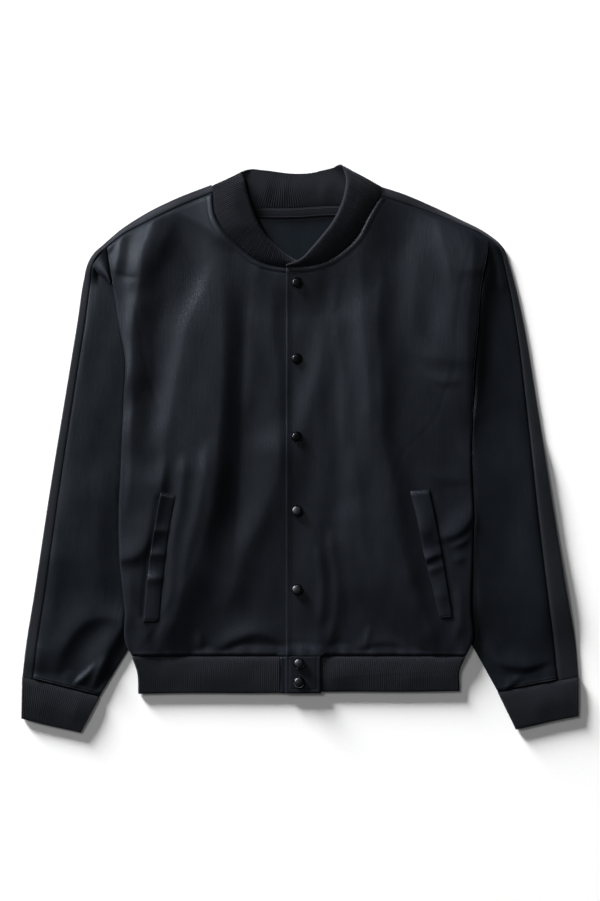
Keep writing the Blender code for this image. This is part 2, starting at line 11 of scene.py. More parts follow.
import bpy
import numpy as np
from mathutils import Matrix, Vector


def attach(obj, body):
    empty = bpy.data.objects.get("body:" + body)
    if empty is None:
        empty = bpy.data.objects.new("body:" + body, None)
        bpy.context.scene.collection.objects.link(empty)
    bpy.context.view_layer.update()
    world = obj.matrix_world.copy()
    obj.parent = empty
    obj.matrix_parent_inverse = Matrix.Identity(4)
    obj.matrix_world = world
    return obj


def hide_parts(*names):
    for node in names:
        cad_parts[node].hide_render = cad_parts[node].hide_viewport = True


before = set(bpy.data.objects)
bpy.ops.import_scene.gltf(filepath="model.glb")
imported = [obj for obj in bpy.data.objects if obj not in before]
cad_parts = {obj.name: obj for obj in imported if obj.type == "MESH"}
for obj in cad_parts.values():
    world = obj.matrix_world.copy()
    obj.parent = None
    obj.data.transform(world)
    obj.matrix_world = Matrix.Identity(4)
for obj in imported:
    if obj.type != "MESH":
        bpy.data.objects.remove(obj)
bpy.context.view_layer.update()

MM = 0.001
SIDES = ("right", "left")

# Walls of the cloths, and the heights at which their layers lie
CLOTH = 1.1
RIB = 1.8
BLOCK = 1.8
TAPE = 0.9
PLY = 2.0  # rise from one layer of cloth to the next
SLEEVE_LAYERS = 2  # a sleeve below a side of the body
LEVEL_0 = 0.7  # middle height of the lowest layer
RIB_LOW_Z = 1.25  # middle heights of the two walls of a band
RIB_HIGH_Z = 3.9
UNDER_BLOCK_Z = 3.9  # middle heights of the blocks
OVER_BLOCK_Z = 6.1
AIR = 1.0  # extra height of the fronts over the sleeves
CLOSE = 0.6  # troughs come this far below the level of flat cloth
LAP_RISE = 1.55  # the left front above the right one
WELT_LIFT = (1.9, 0.4)  # middle of a welt above that of the front: at its opening, at its seam
# Soft change where one height takes over from another
LIFT_BLEND = 0.12
LAYER_BLEND = 0.5
HEM_BLEND = 0.6
CUFF_BLEND = 0.4

# Measures that several pieces share
SEAM = 0.15  # each piece stops this far short of a seam
HEM_GAP = 0.45  # and this far at the hem and in corners
STRIPE = 40.0  # width of a stripe, front and back
FRONT_EDGE = -18.5  # x of the left front's edge
LAP = 34.0  # the right front goes on this far below the left one
HEM_TOP = -276.5
HEM_BOTTOM = -325.5
BLOCK_END = {"right": -26.0, "left": 28.5}  # x where each block meets the hem band

# Cells in the fine grids
LEG_STEPS = 12  # points read from each leg of a smooth curve
CREASE_STEPS = 5  # points read from each leg of a crease
NECK_POINTS = 24  # legs that stand for a neck seam in the heights beside it
SHOULDER_POINTS = 16  # the same for a shoulder seam
FRONT_COLUMNS = 100
SIDE_ROWS = 140  # of a front, hem to underarm
ARMHOLE_ROWS = 80  # of a front, underarm to shoulder seam
RIDGE_ROWS = {"right": 20, "left": 0}  # as many of these lie beyond the armhole's edge
NECK_ROWS = 70
BACK_SIDE_ROWS = 90
BACK_ARMHOLE_ROWS = 50
BACK_NECK_COLUMNS = 36
BACK_SHOULDER_COLUMNS = 40
SLEEVE_ROWS = 200
SLEEVE_COLUMNS = 44
HEAD_ROWS = 70  # of a sleeve, above its inner fold
HEAD_STEPS = 10  # across the head of the right sleeve
ARMHOLE_STATIONS = 12  # read along the armhole for the sleeve below it
STRIPE_COLUMNS = 8
STRIP_COLUMNS = 4  # across the strip that turns under at the side of a front
FOLD_STEPS = 6  # cells round a folded edge
BAND_ROWS = 12
HEM_COLUMNS = 1700
CUFF_COLUMNS = 420
COLLAR_KEYS = 7  # legs read from each part of the collar's lines
COLLAR_ROWS = 11
COLLAR_COLUMNS = 1600
WELT_ROWS = 110
WELT_COLUMNS = 10
TAPE_ROWS = 6
BLOCK_STEPS = 30
SNAP_SIDES = 48
SNAP_STEPS = 4
CLOTH_MAP = "cloth_mm"  # the map that holds the cloth's own millimetres

# Edges and ribs
RIM_SHARE = 0.28  # share of the wall that a cut edge is rounded by
RIM_ANGLE = math.radians(60)
TURN = 1.2  # how far a folded edge is drawn in above and below its middle
RIBS = {"hem": (2.5, 0.14), "cuff": (2.5, 0.17), "collar": (2.3, 0.38)}  # pitch, depth
RIB_SHAPE = 0.7  # below 1, ribs are round with narrow valleys
EDGE_WAVE = 0.5  # how far the folded edges of the rib stray from straight lines
EDGE_LENGTH = {"hem": 31.0, "cuff": 17.0}  # along those edges, a radian of their waves

# Bands, blocks, collar, tape and welts
HEM_SHARE = (-214.0, 214.0)  # x over which the hem band's ends change from right to left
BAND_SWELL = 0.9
BAND_LEAN = 0.8  # below 1, a band is fullest nearer to its seam
BAND_DIP = 0.6  # at the band's seam
BAND_DIP_SHARE = 0.06  # half width of that dip, as a share of the band
BLOCK_SWELL = 0.5
BLOCK_EDGE = 2.5  # over this width from its edges a block swells
BLOCK_STITCH = 5.0  # from a block's edges to its stitching
BLOCK_TOP = {"right": -0.15, "left": 0.35}  # from the hem seam to the top of the block
COLLAR_SINK = 0.3  # the collar at its seam below the middle of the front
COLLAR_SWELL = 1.6
COLLAR_MIDDLE = 0.6  # share of its width at which its columns are even
COLLAR_STANDS = 4.0  # height over its own two walls at which its edge rolls in full
COLLAR_ROLL = [(0.93, 0.1), (0.95, 0.45), (0.97, 0.95), (0.985, 1.6), (1.0, 2.6)]  # share of width, fall
BACK_RELIEF = 0.4  # the creases of the back rise no higher
TAPE_EDGES = (-1.3, 12.0)  # below the neck seam
TAPE_INSET = 5  # stations of the neck seam beyond each end of the tape
TAPE_AIR = 0.8
TAPE_SWELL = 0.3
WELT_PUFF = 0.7
WELT_LEAN = 0.7  # below 1, a welt is fullest nearer to its seam
WELT_STITCH = 3.2  # from a welt's ends to its stitching
WELT_ROLL = 1.0  # fall of a welt at its two ends

# Stripes and sleeves
STRIPE_LEAVES = {"right": 24.0, "left": 0.0}  # past the armhole, where the stripe leaves the body
STRIPE_DROP = 34.0  # over this length it comes down to the sleeve
STRIPE_FALL = {"right": (4.6, 0.5), "left": (3.2, 2.0)}  # from front seam to fold, on the body and below
STRIPE_TUCK = 1.8  # a stripe goes on below the collar
STRIPE_ROUND = 1.6  # above 1, a stripe bends down towards its fold
STRIPE_BLUR = 40  # stations over which a stripe's width keeps its direction
TURN_BLUR = 9  # rows over which the strip that turns under keeps its direction
SEAM_FALL = 14.0  # over this width a sleeve leaves the height of its stripe
SLEEVE_FREE = (-1.2, 1.2)  # outside the body's edge, where a sleeve's creases are whole
SLEEVE_COVERED = (-0.3, 0.4)  # limits of those creases where the body covers them
SLEEVE_START = {"right": 10, "left": 0}  # stations past the armhole where each sleeve starts
HEAD_SHARE = 0.15  # width of a sleeve's back layer at its top, as a share of that at the underarm
HEAD_TIP = 4.0  # the sleeve's head ends this far above the armhole edge
HEAD_PUFF = 1.4
CUFF_EASE = 40.0  # over this length a sleeve and its stripe come to the cuff

# Snap caps
SNAP_R = 7.5
SNAP_H = 2.6
SNAP_AIR = 0.25
# Profile of a cap from its crown to the middle of its underside: shares of radius and height
SNAP_PROFILE = [(0.002, 1.0), (0.2, 0.99), (0.4, 0.96), (0.68, 0.88), (0.8, 0.78), (0.9, 0.58),
                (0.97, 0.38), (1.0, 0.2), (0.96, 0.05), (0.9, 0.0), (0.002, 0.0)]
SNAP_LEAN = [-0.06, -0.05, -0.06, 0.12, 0.13, 0.14, 0.11]  # slope of each cap towards the upper left

# Stitches
STITCH_PITCH = 3.0
STITCH_SHARE = 0.4  # half a stitch's length, as a share of the pitch
STITCH_R = 0.26
STITCH_SINK = 0.2  # its ends below its middle
STITCH_SIDES = 6
# Rings round a stitch: place along half its length and radius, as shares of those
STITCH_RINGS = [(-1.0, 0.3), (-0.75, 0.8), (0.0, 1.0), (0.75, 0.8), (1.0, 0.3)]
STITCH_LIFT = 0.05  # middle of the thread above the cloth
ROW_STEP = 2.0  # between the points of a row on a front
ROW_LEGS = 8  # a row has at least so many legs
NECK_ROW = slice(3, -2)  # stations of a neck seam with stitching beside them
HEM_ROW_START = {"right": FRONT_EDGE - 2, "left": BLOCK_END["left"] + 1}  # x of the row above the hem
HEM_ROW_INSET = 3.0  # from its other end to the body's edge
PLACKET_ROW = (HEM_TOP + 2, 238.0)  # y of the ends of the placket's row
BLOCK_ROW_LEGS = 100

# Tricots: colour, as light that each reflects, roughness and specular level
TRICOTS = {
    "tricot_body": ((0.0046, 0.0055, 0.0078), 0.38, 1.0),
    "tricot_sleeves": ((0.0046, 0.0057, 0.0077), 0.36, 0.78),
    "tricot_inside": ((0.0033, 0.0056, 0.0084), 0.5, 0.5),
}
# Clouds of a cloth: size across and along in millimetres, least and greatest brightness
TRICOT_CLOUDS = (38.0, 70.0, 0.9, 1.1)
TRICOT_STREAKS = (1.6, 60.0, 0.93, 1.07)
TRICOT_GLOSS = (25.0, 45.0)  # size of the blotches of its roughness
GLOSS_RANGE = 0.04  # how far roughness strays on either side
WALE_PITCH = 0.7
WALE_SHARE = 0.35  # height of the wales in the relief
SLUBS = (1.2, 40.0)  # size of the long thick places among them
SLUB_SHARE = 0.9
TRICOT_RELIEF = 0.09
# Knits in charcoal: roughness, specular level, width of a wale and height of a course
CHARCOAL = (0.0056, 0.0056, 0.0072)
KNITS = {
    "rib_knit": (0.52, 0.35, RIBS["hem"][0], 1.3),
    "stripe_knit": (0.5, 0.75, 0.9, 1.1),
    "tape_knit": (0.65, 0.08, 0.9, 1.1),
}
KNIT_CLOUDS = (30.0, 30.0, 0.9, 1.1)
KNIT_FUZZ = (0.5, 0.5, 0.85, 1.15)
TOOTH = (0.6, 0.6)  # size of the knit's unevenness
TOOTH_SHARE = 0.6
KNIT_RELIEF = 0.16
TRICOT_SHEEN = 0.02
KNIT_SHEEN = 0.05
KNIT_SHEEN_ROUGHNESS = 0.6
SPECULAR_TINT = (0.77, 0.86, 1.0)
SHEEN_TINT = (0.75, 0.85, 1.0)
NOISE_DETAIL = 3.0
CLOUD_RANGE = (0.3, 0.7)  # where most values of a cloud lie
WAVE_TURN = math.tau / 20  # scale of a wave texture whose pitch is 1
# Thread, metal and paper; a grain is blotches to the metre, least and greatest value
THREAD = (0.016, 0.018, 0.023)
THREAD_ROUGHNESS, THREAD_SPECULAR, THREAD_SHEEN = 0.55, 0.35, 0.2
THREAD_GRAIN = (2500.0, 0.8, 1.2)
METAL = (0.21, 0.225, 0.25)
METAL_ROUGHNESS, METAL_SPECULAR = 0.28, 0.5
METAL_GRAIN, METAL_DETAIL = 900.0, 4.0
METAL_WEAR = (0.26, 0.30)  # its roughness
METAL_TONES = (0.95, 1.05)
PAPER = (0.9, 0.9, 0.9)
PAPER_ROUGHNESS = 0.95
PAPER_GRAIN = (300.0, 0.99, 1.01)

# Light and camera, in metres
FLOOR_Z = -0.0005
FLOOR_REACH = 30.0
KEY_ELEVATION = math.radians(8.5)
KEY_AZIMUTH = math.radians(38)  # from the collar's direction towards the jacket's right
KEY_DISTANCE = 18.0
KEY_SIZE = 5.4
KEY_POWER = 22100.0
BOX_ELEVATION = math.radians(52)
BOX_AZIMUTH = math.radians(56)
BOX_DISTANCE = 4.5
BOX_SIZE = 1.4
BOX_POWER = 38.0
WORLD_LIGHT = 0.108  # fills the shadows and lights the floor far away
LENS = 100.0
SENSOR = 36.0
CAMERA_HEIGHT = 3.337
CAMERA_OVER = (0.67, -2.0)  # the point that it looks at, in millimetres

# How the cloth eases from one height to another
HEM_COVER = 236.0  # where the edge of the layers below a side meets the hem, from the middle
COVER_EASE = (56.0, 14.0)  # inside that edge: start, end
# A front rises from its middle towards its side: y, distances from the middle where it starts
# and ends, share of the whole rise
FRONT_EASE = {
    "right": [(-276, 110, 222, 1), (-236, 92, 215, 1), (-170, 82, 150, 1), (-100, 78, 124, 1),
              (20, 74, 110, 0.9), (110, 72, 104, 0.6), (190, 66, 104, 0.3), (300, 60, 120, 0.1)],
    "left": [(-276, 160, 222, 1), (-240, 110, 190, 1), (-160, 40, 135, 1), (-60, 10, 118, 1),
             (60, 6, 104, 0.95), (150, 26, 100, 0.7), (205, 44, 98, 0.4), (300, 60, 110, 0.1)],
}
SHOULDER_EASE = (128.0, 226.0)  # the rest of the rise, near the shoulders
SHOULDER_FALL = 2.6  # the fronts come down towards the shoulder seam
SHOULDER_WIDTH = {"right": 44.0, "left": 30.0}  # within this distance of it
SHOULDER_SHARE = 0.35  # share of that fall where a front isn't lifted
UNDERARM_EASE = (84.0, 128.0)  # y between which the back comes down above the underarm
HEM_EASE = 45.0  # the fronts come down to the hem band over this length
LAP_EASE = (6.0, 40.0)  # past the lap: start, end
BLOCK_RISE = 1.2  # the placket rises to the block below it
BLOCK_EASE = (12.0, 40.0)  # over this length beside the block and above it
NECK_CENTRE = (-7.0, 336.0)
NECK_RISE = 3.2  # height that the collar adds to the cloth around it
NECK_EASE = (100.0, 165.0)  # distances from the neck's centre: start, end

# Side folds of the hem band, top to bottom: x, y
HEM_SIDE = {
    "right": [(-222, HEM_TOP), (-215, -298.5), (-214, HEM_BOTTOM)],
    "left": [(220, HEM_TOP), (213, -292.5), (212.5, -322.5)],
}
# Visible edge of the body, hem to underarm and underarm to shoulder: x, y
SIDE_EDGE = {
    "right": [(-222, -276), (-230, -261), (-232, -213), (-239, -144), (-240, -91), (-237, -17),
              (-233, 72)],
    "left": [(221, -276), (229, -258), (228, -211), (230, -144), (231, -91), (228, -10),
             (231, 72)],
}
ARMHOLE_EDGE = {
    "right": [(-233, 72), (-231, 111), (-242, 176), (-246, 207), (-250, 221)],
    "left": [(231, 72), (232, 98), (237, 160), (242, 220), (248, 252), (252, 274)],
}
# How far the front turns under its edge, hem to shoulder: y, width
TURN_UNDER = {
    "right": [(-277, 3), (-144, 5), (-17, 9), (72, 18), (92, 9), (176, 6), (221, 3)],
    "left": [(-277, 3), (-144, 5), (-10, 9), (72, 18), (92, 9), (176, 7), (276, 3)],
}
# The edge where the head of the right sleeve folds under, stripe to armhole seam: x, y
HEAD_FOLD = [(-268, 236), (-251, 220)]
# Neck seam of the fronts, shoulder to front edge, and of the back, right to left: x, y
NECK_SEAM = {
    "right": [(-111, 309), (-102, 293), (-87, 277), (-70, 261), (-51, 249), (-31, 244), (15, 241)],
    "left": [(99, 322), (90, 306), (76, 281), (58, 264), (37, 250), (14, 244), (-18, 242)],
}
BACK_NECK = [(-66, 320), (-15, 319), (39, 322)]
# Outer fold of the stripes, neck to armhole and armhole to cuff: x, y, width shown in front
STRIPE_ON_BODY = {
    "right": [(-119, 351, 10), (-165, 333, 11), (-207, 312, 10.5), (-239, 291, 7), (-261, 272, 6)],
    "left": [(112, 348, 11.5), (134, 341, 11.5), (177, 323, 8.5), (219, 303, 6.5),
             (241, 292, 5.5), (255, 283, 5)],
}
STRIPE_ON_SLEEVE = {
    "right": [(-261, 272, 6), (-274, 260, 6), (-282, 246, 7), (-287, 225, 9), (-295, 172, 10),
              (-308, 92, 10.5), (-332, -55, 12), (-354, -200, 13.5), (-363, -255, 14),
              (-369, -304, 14)],
    "left": [(255, 283, 5), (265, 275, 5), (273, 265, 5.5), (278, 250, 6), (285, 225, 7),
             (297, 172, 9), (315, 65, 13), (339, -85, 21), (358, -201, 26), (367, -255, 28),
             (371, -304, 27)],
}
# Underarm point, then the sleeve's inner fold down to the cuff, below the body: x, y
INNER_FOLD = {
    "right": [(-211, 72), (-207, 48), (-188, 22), (-161, -2), (-148, -40), (-149, -95),
              (-166, -155), (-199, -215), (-230, -269), (-267, -330)],
    "left": [(209, 72), (205, 48), (186, 22), (160, -2), (147, -40), (150, -95), (168, -155),
             (203, -215), (233, -266), (265, -324)],
}
# Ends of the cuff seam and of the cuff's edge, outside to inside: x, y
CUFF_SEAM = {"right": [(-369, -304), (-267, -330)], "left": [(371, -304), (265, -324)]}
CUFF_EDGE = {"right": [(-370, -359), (-292, -378)], "left": [(371, -356), (289, -373)]}

# Pocket welts, top to bottom: x of the edge at the opening, its y, x of the sewn edge, its y
WELT = {
    "right": [(-184.5, -58, -164, -61), (-191, -95, -171, -95), (-198, -137, -177, -137),
              (-203, -180, -182, -180), (-207.5, -231, -186.5, -231)],
    "left": [(172, -54, 147, -56), (181, -95, 157, -96), (189, -137, 165, -138),
             (196, -180, 176, -180), (203.5, -225, 187, -227)],
}
# Snap caps, top to bottom: x, y
SNAPS = [(-2.8, 221), (-3.3, 120), (-3.3, 16), (-3.3, -82), (-3.3, -187), (-0.7, -285),
         (-0.7, -310)]

# Folded edge of the collar: x, y and height, shoulder to front end and round the back neck
COLLAR_EDGE = {
    "right": [(-74, 358, 10), (-71, 346, 11.5), (-68, 333, 12.5), (-64, 322, 13), (-58, 306, 13),
              (-50, 290, 12.5), (-38, 276, 11), (-22, 262, 9), (-7, 251, 7), (2, 247, 6.2)],
    "left": [(62, 362, 12), (61.5, 346, 14), (57, 329, 15), (47, 306, 15), (33, 287, 14.5),
             (17, 268, 13.5), (2, 252.5, 12.5), (-9, 247, 11.5), (-17, 245, 10.5)],
    "back": [(-66, 372.5, 1.1), (-43, 371, 1.1), (-22, 368, 1.1), (-2, 366.5, 1.1), (18, 368, 1.1),
             (32, 371.5, 1.1), (44, 374.5, 1.1)],
}
# Where the collar turns over at each shoulder: x, y and height at its seam and at its edge
COLLAR_TURN = {
    "right": ((-116.5, 349.5, 3.4), (-76.5, 367.5, 5.6)),
    "left": ((110, 347.5, 3.8), (54, 378, 6.8)),
}

# Creases of each panel: line from x, y to x, y, half width on its right and on its left as it
# runs, height
FRONT_CREASES = {
    "right": [
        # Crest beside the armhole, and on beside the sleeve
        ([(-176, 358), (-188, 318), (-199, 290), (-212, 260), (-222, 232), (-228, 204)], 11, 26, 3.2),
        ([(-206, 272), (-213, 232), (-217, 196), (-221, 156), (-225, 116), (-229, 50)], 11, 24, 2.9),
        ([(-222, 150), (-222, 60), (-222, -20)], 18, 22, 1.4),
        ([(-262, 236), (-234, 230), (-204, 230)], 6, 4, -0.4),
        ([(-223, 96), (-223, 20), (-226, -40), (-232, -96)], 8, 28, 1.9),
        # Chest: a long slope that faces left, and its fall towards the front edge
        ([(-112, 268), (-102, 200), (-101, 140), (-104, 60), (-110, -10), (-120, -80),
          (-130, -150)], 62, 22, 2.7),
        ([(-110, 262), (-126, 214), (-146, 164), (-160, 110), (-170, 50), (-178, -20),
          (-186, -80)], 14, 42, 1.5),
        ([(-176, 214), (-190, 150), (-196, 80), (-198, 0)], 22, 20, -1.2),
        # Middle, down to the crest that leaves the front edge
        ([(-40, 236), (-34, 140), (-27, 40), (-28, -60)], 36, 12, 1.2),
        ([(-16, 44), (-28, -20), (-40, -66), (-60, -114), (-77, -146), (-92, -190),
          (-112, -226)], 26, 22, 2.6),
        ([(-56, 262), (-62, 150), (-70, 40)], 10, 13, 0.5),
        # Shoulder
        ([(-196, 330), (-154, 312), (-118, 294), (-84, 262)], 12, 14, 1.5),
        ([(-150, 322), (-172, 294), (-188, 264), (-196, 226)], 24, 14, 1.4),
        ([(-224, 318), (-236, 286), (-243, 254), (-247, 222)], 5, 13, 1.9),
        # Beside the pocket
        ([(-262, -152), (-236, -147), (-215, -140), (-201, -124), (-193, -92), (-186, -50),
          (-176, -4)], 9, 22, 2.3),
        ([(-152, 0), (-157, -50), (-164, -108), (-170, -160), (-176, -208), (-186, -262)], 9, 13, 1.6),
        ([(-118, 20), (-129, -50), (-141, -116), (-152, -164), (-161, -214), (-192, -284)], 12, 24, 2.2),
        ([(-232, -150), (-226, -196), (-230, -250)], 8, 14, 1.1),
        ([(-222, -206), (-204, -244), (-196, -272)], 10, 8, 1.0),
        # Above the hem
        ([(-122, -278), (-88, -254), (-58, -246), (-12, -264)], 7, 15, 1.8),
        ([(-100, -264), (-74, -262), (-50, -266)], 5, 6, -0.8),
        ([(-128, -274), (-134, -238)], 6, 6, 0.9),
    ],
    "left": [
        # Chest: a long slope that faces left, from the placket to a fall beside the pocket
        ([(64, 276), (52, 214), (36, 150), (20, 84), (7, 20), (-2, -60)], 18, 44, 1.4),
        ([(108, 270), (104, 200), (105, 130), (108, 60), (113, 0), (124, -60), (136, -124),
          (150, -206), (156, -262)], 56, 18, 3.3),
        ([(44, 262), (53, 130), (62, 20), (68, -70)], 9, 11, 0.5),
        ([(80, 266), (87, 140), (94, 20)], 10, 10, 0.5),
        ([(70, 10), (80, -80), (94, -180)], 10, 11, 0.6),
        ([(156, 290), (152, 200), (160, 110)], 24, 18, 0.8),
        ([(58, -60), (70, -140), (76, -220)], 14, 16, 0.8),
        # Beside the armhole, down to a fold across
        ([(236, 350), (229, 270), (225, 190), (222, 110), (220, 0)], 52, 16, 3.0),
        ([(136, 140), (168, 126), (196, 119), (226, 118), (250, 120)], 14, 40, 1.5),
        ([(164, 104), (190, 88), (222, 92)], 6, 13, 0.8),
        ([(278, 272), (246, 243), (200, 236)], 30, 12, 1.8),
        ([(182, 312), (194, 264), (204, 208)], 10, 16, 0.8),
        # Beside the pocket's opening
        ([(172, -124), (196, -119), (213, -113), (223, -102), (229, -84), (230, -60)], 6, 19, 2.1),
        ([(198, -134), (212, -130), (224, -122), (230, -108)], 4, 7, 1.3),
        ([(200, -152), (213, -149), (226, -142)], 5, 8, 0.8),
        ([(164, -30), (198, -42), (236, -40)], 8, 14, 0.8),
        ([(208, -176), (214, -222), (206, -266)], 8, 10, 1.1),
        # Below the last snaps and above the hem
        ([(26, -120), (30, -180), (26, -240)], 7, 8, 0.9),
        ([(42, -100), (49, -176), (47, -226), (38, -272)], 7, 10, 1.1),
        ([(154, -176), (166, -226), (190, -270)], 14, 11, 1.4),
        ([(88, -274), (95, -232)], 6, 6, 0.9),
        ([(60, -274), (120, -258), (170, -276)], 7, 9, 0.8),
    ],
}
SLEEVE_CREASES = {
    "right": [
        ([(-266, 0), (-268, -90), (-269, -160), (-258, -236)], 36, 24, 2.0),
        ([(-330, -318), (-312, -262), (-288, -232), (-256, -224), (-222, -234)], 14, 34, 3.6),
        ([(-212, -196), (-240, -244), (-262, -286), (-288, -334)], 24, 10, 3.6),
        ([(-268, -284), (-284, -301), (-296, -310), (-314, -320)], 3, 7, 2.6),
        ([(-250, -272), (-268, -304), (-280, -334)], 6, 6, 1.2),
        ([(-358, -236), (-352, -280), (-344, -320)], 7, 18, 1.9),
        ([(-322, -110), (-334, -190), (-340, -262)], 12, 16, 1.0),
        ([(-272, 252), (-292, 120), (-312, -20), (-334, -160), (-344, -250)], 10, 66, 2.8),
    ],
    "left": [
        ([(254, 290), (245, 226), (239, 160), (235, 90), (234, 20)], 5, 13, 2.0),
        ([(233, 90), (234, -20), (235, -130), (240, -262)], 5, 38, 2.3),
        ([(296, 60), (314, -60), (328, -160), (336, -286)], 48, 14, 3.8),
        ([(252, -276), (280, -287), (302, -291), (322, -288), (342, -280)], 6, 17, 2.5),
        ([(260, -330), (279, -315), (291, -307), (310, -301)], 4, 9, 2.2),
        ([(246, -238), (268, -284), (286, -328)], 14, 8, 0.8),
        ([(262, 280), (268, 244), (274, 200)], 6, 7, 1.2),
        ([(300, -100), (318, -180), (334, -250), (346, -310)], 40, 16, 1.6),
    ],
}
BACK_CREASES = [
    ([(-60, 220), (-48, 60), (-70, -100)], 26, 20, 0.5),
    ([(70, 160), (84, -20), (72, -200)], 24, 28, 0.5),
    ([(-20, 60), (-10, -120), (-30, -260)], 18, 24, 0.4),
]
WELT_CREASES = {
    "right": [
        ([(-216, -113), (-189, -108), (-160, -112)], 9, 7, 1.4),
        ([(-220, -144), (-194, -139), (-164, -143)], 9, 7, 1.6),
        ([(-224, -175), (-198, -171), (-168, -174)], 9, 7, 1.4),
    ],
    "left": [
        ([(130, -116), (165, -106), (200, -112)], 22, 38, 2.6),
        ([(152, -158), (172, -145), (200, -138)], 5, 11, 2.2),
        ([(156, -170), (178, -160), (204, -154)], 6, 7, 0.9),
        ([(168, -200), (184, -196), (206, -200)], 10, 12, 0.6),
    ],
}
HEM_CREASES = [
    ([(-210, -262), (-200, -300), (-204, -340)], 14, 30, 0.7),
    ([(-96, -262), (-104, -300), (-98, -340)], 30, 22, 0.5),
    ([(42, -262), (46, -300), (44, -340)], 13, 40, 0.8),
    ([(150, -262), (142, -300), (150, -340)], 34, 20, 0.5),
]
CUFF_CREASES = {
    "right": [([(-340, -300), (-346, -340), (-338, -380)], 20, 16, 0.8),
              ([(-286, -316), (-300, -350), (-304, -384)], 18, 12, 0.9)],
    "left": [([(312, -300), (318, -334), (316, -380)], 16, 22, 0.7),
             ([(350, -300), (352, -334), (350, -372)], 14, 10, 0.6)],
}
COLLAR_CREASES = [
    ([(-50, 380), (-44, 352), (-46, 322)], 8, 10, 1.0),
    ([(-24, 376), (-20, 346), (-26, 318)], 7, 6, 0.8),
    ([(6, 374), (2, 350), (8, 330)], 14, 12, 0.5),
    ([(28, 378), (34, 352), (30, 322)], 6, 10, 1.0),
    ([(-92, 300), (-72, 297), (-52, 292), (-40, 280)], 5, 12, 1.3),
    ([(-104, 338), (-86, 330), (-68, 334)], 7, 14, 0.9),
    ([(100, 350), (86, 306), (68, 280), (42, 258)], 24, 9, 0.9),
    ([(-90, 360), (-80, 322), (-71, 296), (-50, 270)], 26, 12, 1.7),
]
CREASE_FADE = (14.0, 1.6)  # length over which a crease fades: fixed part, and widths of the crease
CREASE_TAPER = 0.6  # width of a crease at its ends, as a share of its whole width
CREASE_SHAPE = 1.7  # above 1, a crease has a rounded crest
WANDER = 1.6  # how far creases stray from their lines
WANDER_LENGTH = (23.0, 11.5, 19.0)  # a radian of that: two waves along y, one along x
WANDER_PHASE = 0.7
WANDER_SHARE = 5  # the second wave is so many times smaller
RIPPLES = [(131, 0.21, 0.4), (89, -0.34, 2.1), (61, 0.42, 4.0), (47, -0.27, 1.3)]  # length, lean, phase
RIPPLE = 0.3  # height of all these waves together
RIPPLE_BEND = 0.8  # how far they bend as they run, in radians, and a radian of that bend
RIPPLE_BEND_LENGTH = 61

# Seams
SEAM_DIP = 0.8  # depth of the dip at a seam, and its half width
SEAM_WIDTH = 1.3
SEAM_RAISE = 0.5  # ridge of the allowance below the cloth
RAISE_START = (0.6, 2.2)  # from the seam, where that ridge starts and is whole
RAISE_END = (-0.6, 0.8)  # past the stitching, where it starts to end and ends
STITCH_GROOVE = 0.35  # depth of the groove that stitching makes, and its half width
STITCH_WIDTH = 0.9
# From a seam to its stitching
NECK_BAND = 7.5
SHOULDER_BAND = 2.2
HEM_BAND = 3.8
PLACKET_BAND = 6.0
# Share of the profile's heights that each seam has
NECK_SEAM_STRENGTH = {"right": 1.0, "left": 0.7}
HEM_SEAM_STRENGTH = 1.5
CUFF_SEAM_STRENGTH = 2.1
PLACKET_STRENGTH = 0.7
PLACKET_OUT = 2.0  # the dip of its seam lies this far outside its edge
WELT_PRESS = 0.7  # depth of the dip beside a welt's opening
PRESS_AT = 1.5  # from the opening to the middle of that dip
PRESS_WIDTH = 3.5
PRESS_FADE = 0.06  # share of the opening's length over which it fades at each end
GATHER = 0.28  # height of the tucks beside a band
GATHER_REACH = 11.0
GATHERS = [(5.3, 1.0, 0, 2), (3.1, 0.7, 1, 0), (11.7, 0.6, 0, 0)]  # a radian, share, phase, wobble
WOBBLE_LENGTH = 41


# ---- lines and grids --------------------------------------------------------------------

def ramp(value, start, end):
    """Rise smoothly from 0 at start to 1 at end."""
    t = np.clip((value - start) / (end - start), 0.0, 1.0)
    return t * t * (3 - 2 * t)


def smooth(points, steps=LEG_STEPS):
    """Points along a smooth curve through the points of a line, so many to each leg."""
    points = np.asarray(points, float)
    leg = np.linalg.norm(np.diff(points[:, :2], axis=0), axis=1)[:, None]
    slope = np.diff(points, axis=0) / leg
    tangent = np.vstack([slope[:1], slope])
    tangent[1:-1] = (slope[:-1] * leg[1:] + slope[1:] * leg[:-1]) / (leg[:-1] + leg[1:])
    t = (np.arange(steps) / steps)[None, :, None]
    start, end = points[:-1, None], points[1:, None]
    leaving, arriving = (tangent[:-1] * leg)[:, None], (tangent[1:] * leg)[:, None]
    curve = start * (1 + 2 * t) * (1 - t) ** 2 + end * t * t * (3 - 2 * t)
    curve = curve + leaving * t * (1 - t) ** 2 + arriving * t * t * (t - 1)
    return np.vstack([curve.reshape(-1, points.shape[1]), points[-1:]])


def bell(value, width):
    """1 at 0, and close to 0 at twice the width on either side."""
    return np.exp(-((value / width) ** 2))


def unit(vectors):
    """The same directions with length 1."""
    return vectors / np.linalg.norm(vectors, axis=-1, keepdims=True)


def look_up(table, at):
    """Read the smooth curve through a table's rows at values of its rising first column."""
    curve = smooth(table)
    return np.interp(at, curve[:, 0], curve[:, 1])


def distances(line):
    """How far along a line each of its points lies."""
    legs = np.linalg.norm(np.diff(line, axis=0), axis=1)
    return np.concatenate([[0.0], np.cumsum(legs)])


def read_at(line, reach, at):
    """Points of a line at some distances along it; reach says how far its own points lie."""
    return np.column_stack([np.interp(at, reach, column) for column in line.T])


def spaced(points, count):
    """Read count + 1 points at even distances along a line through the points."""
    points = np.asarray(points, float)
    reach = distances(points[:, :2])
    return read_at(points, reach, np.linspace(0, reach[-1], count + 1))


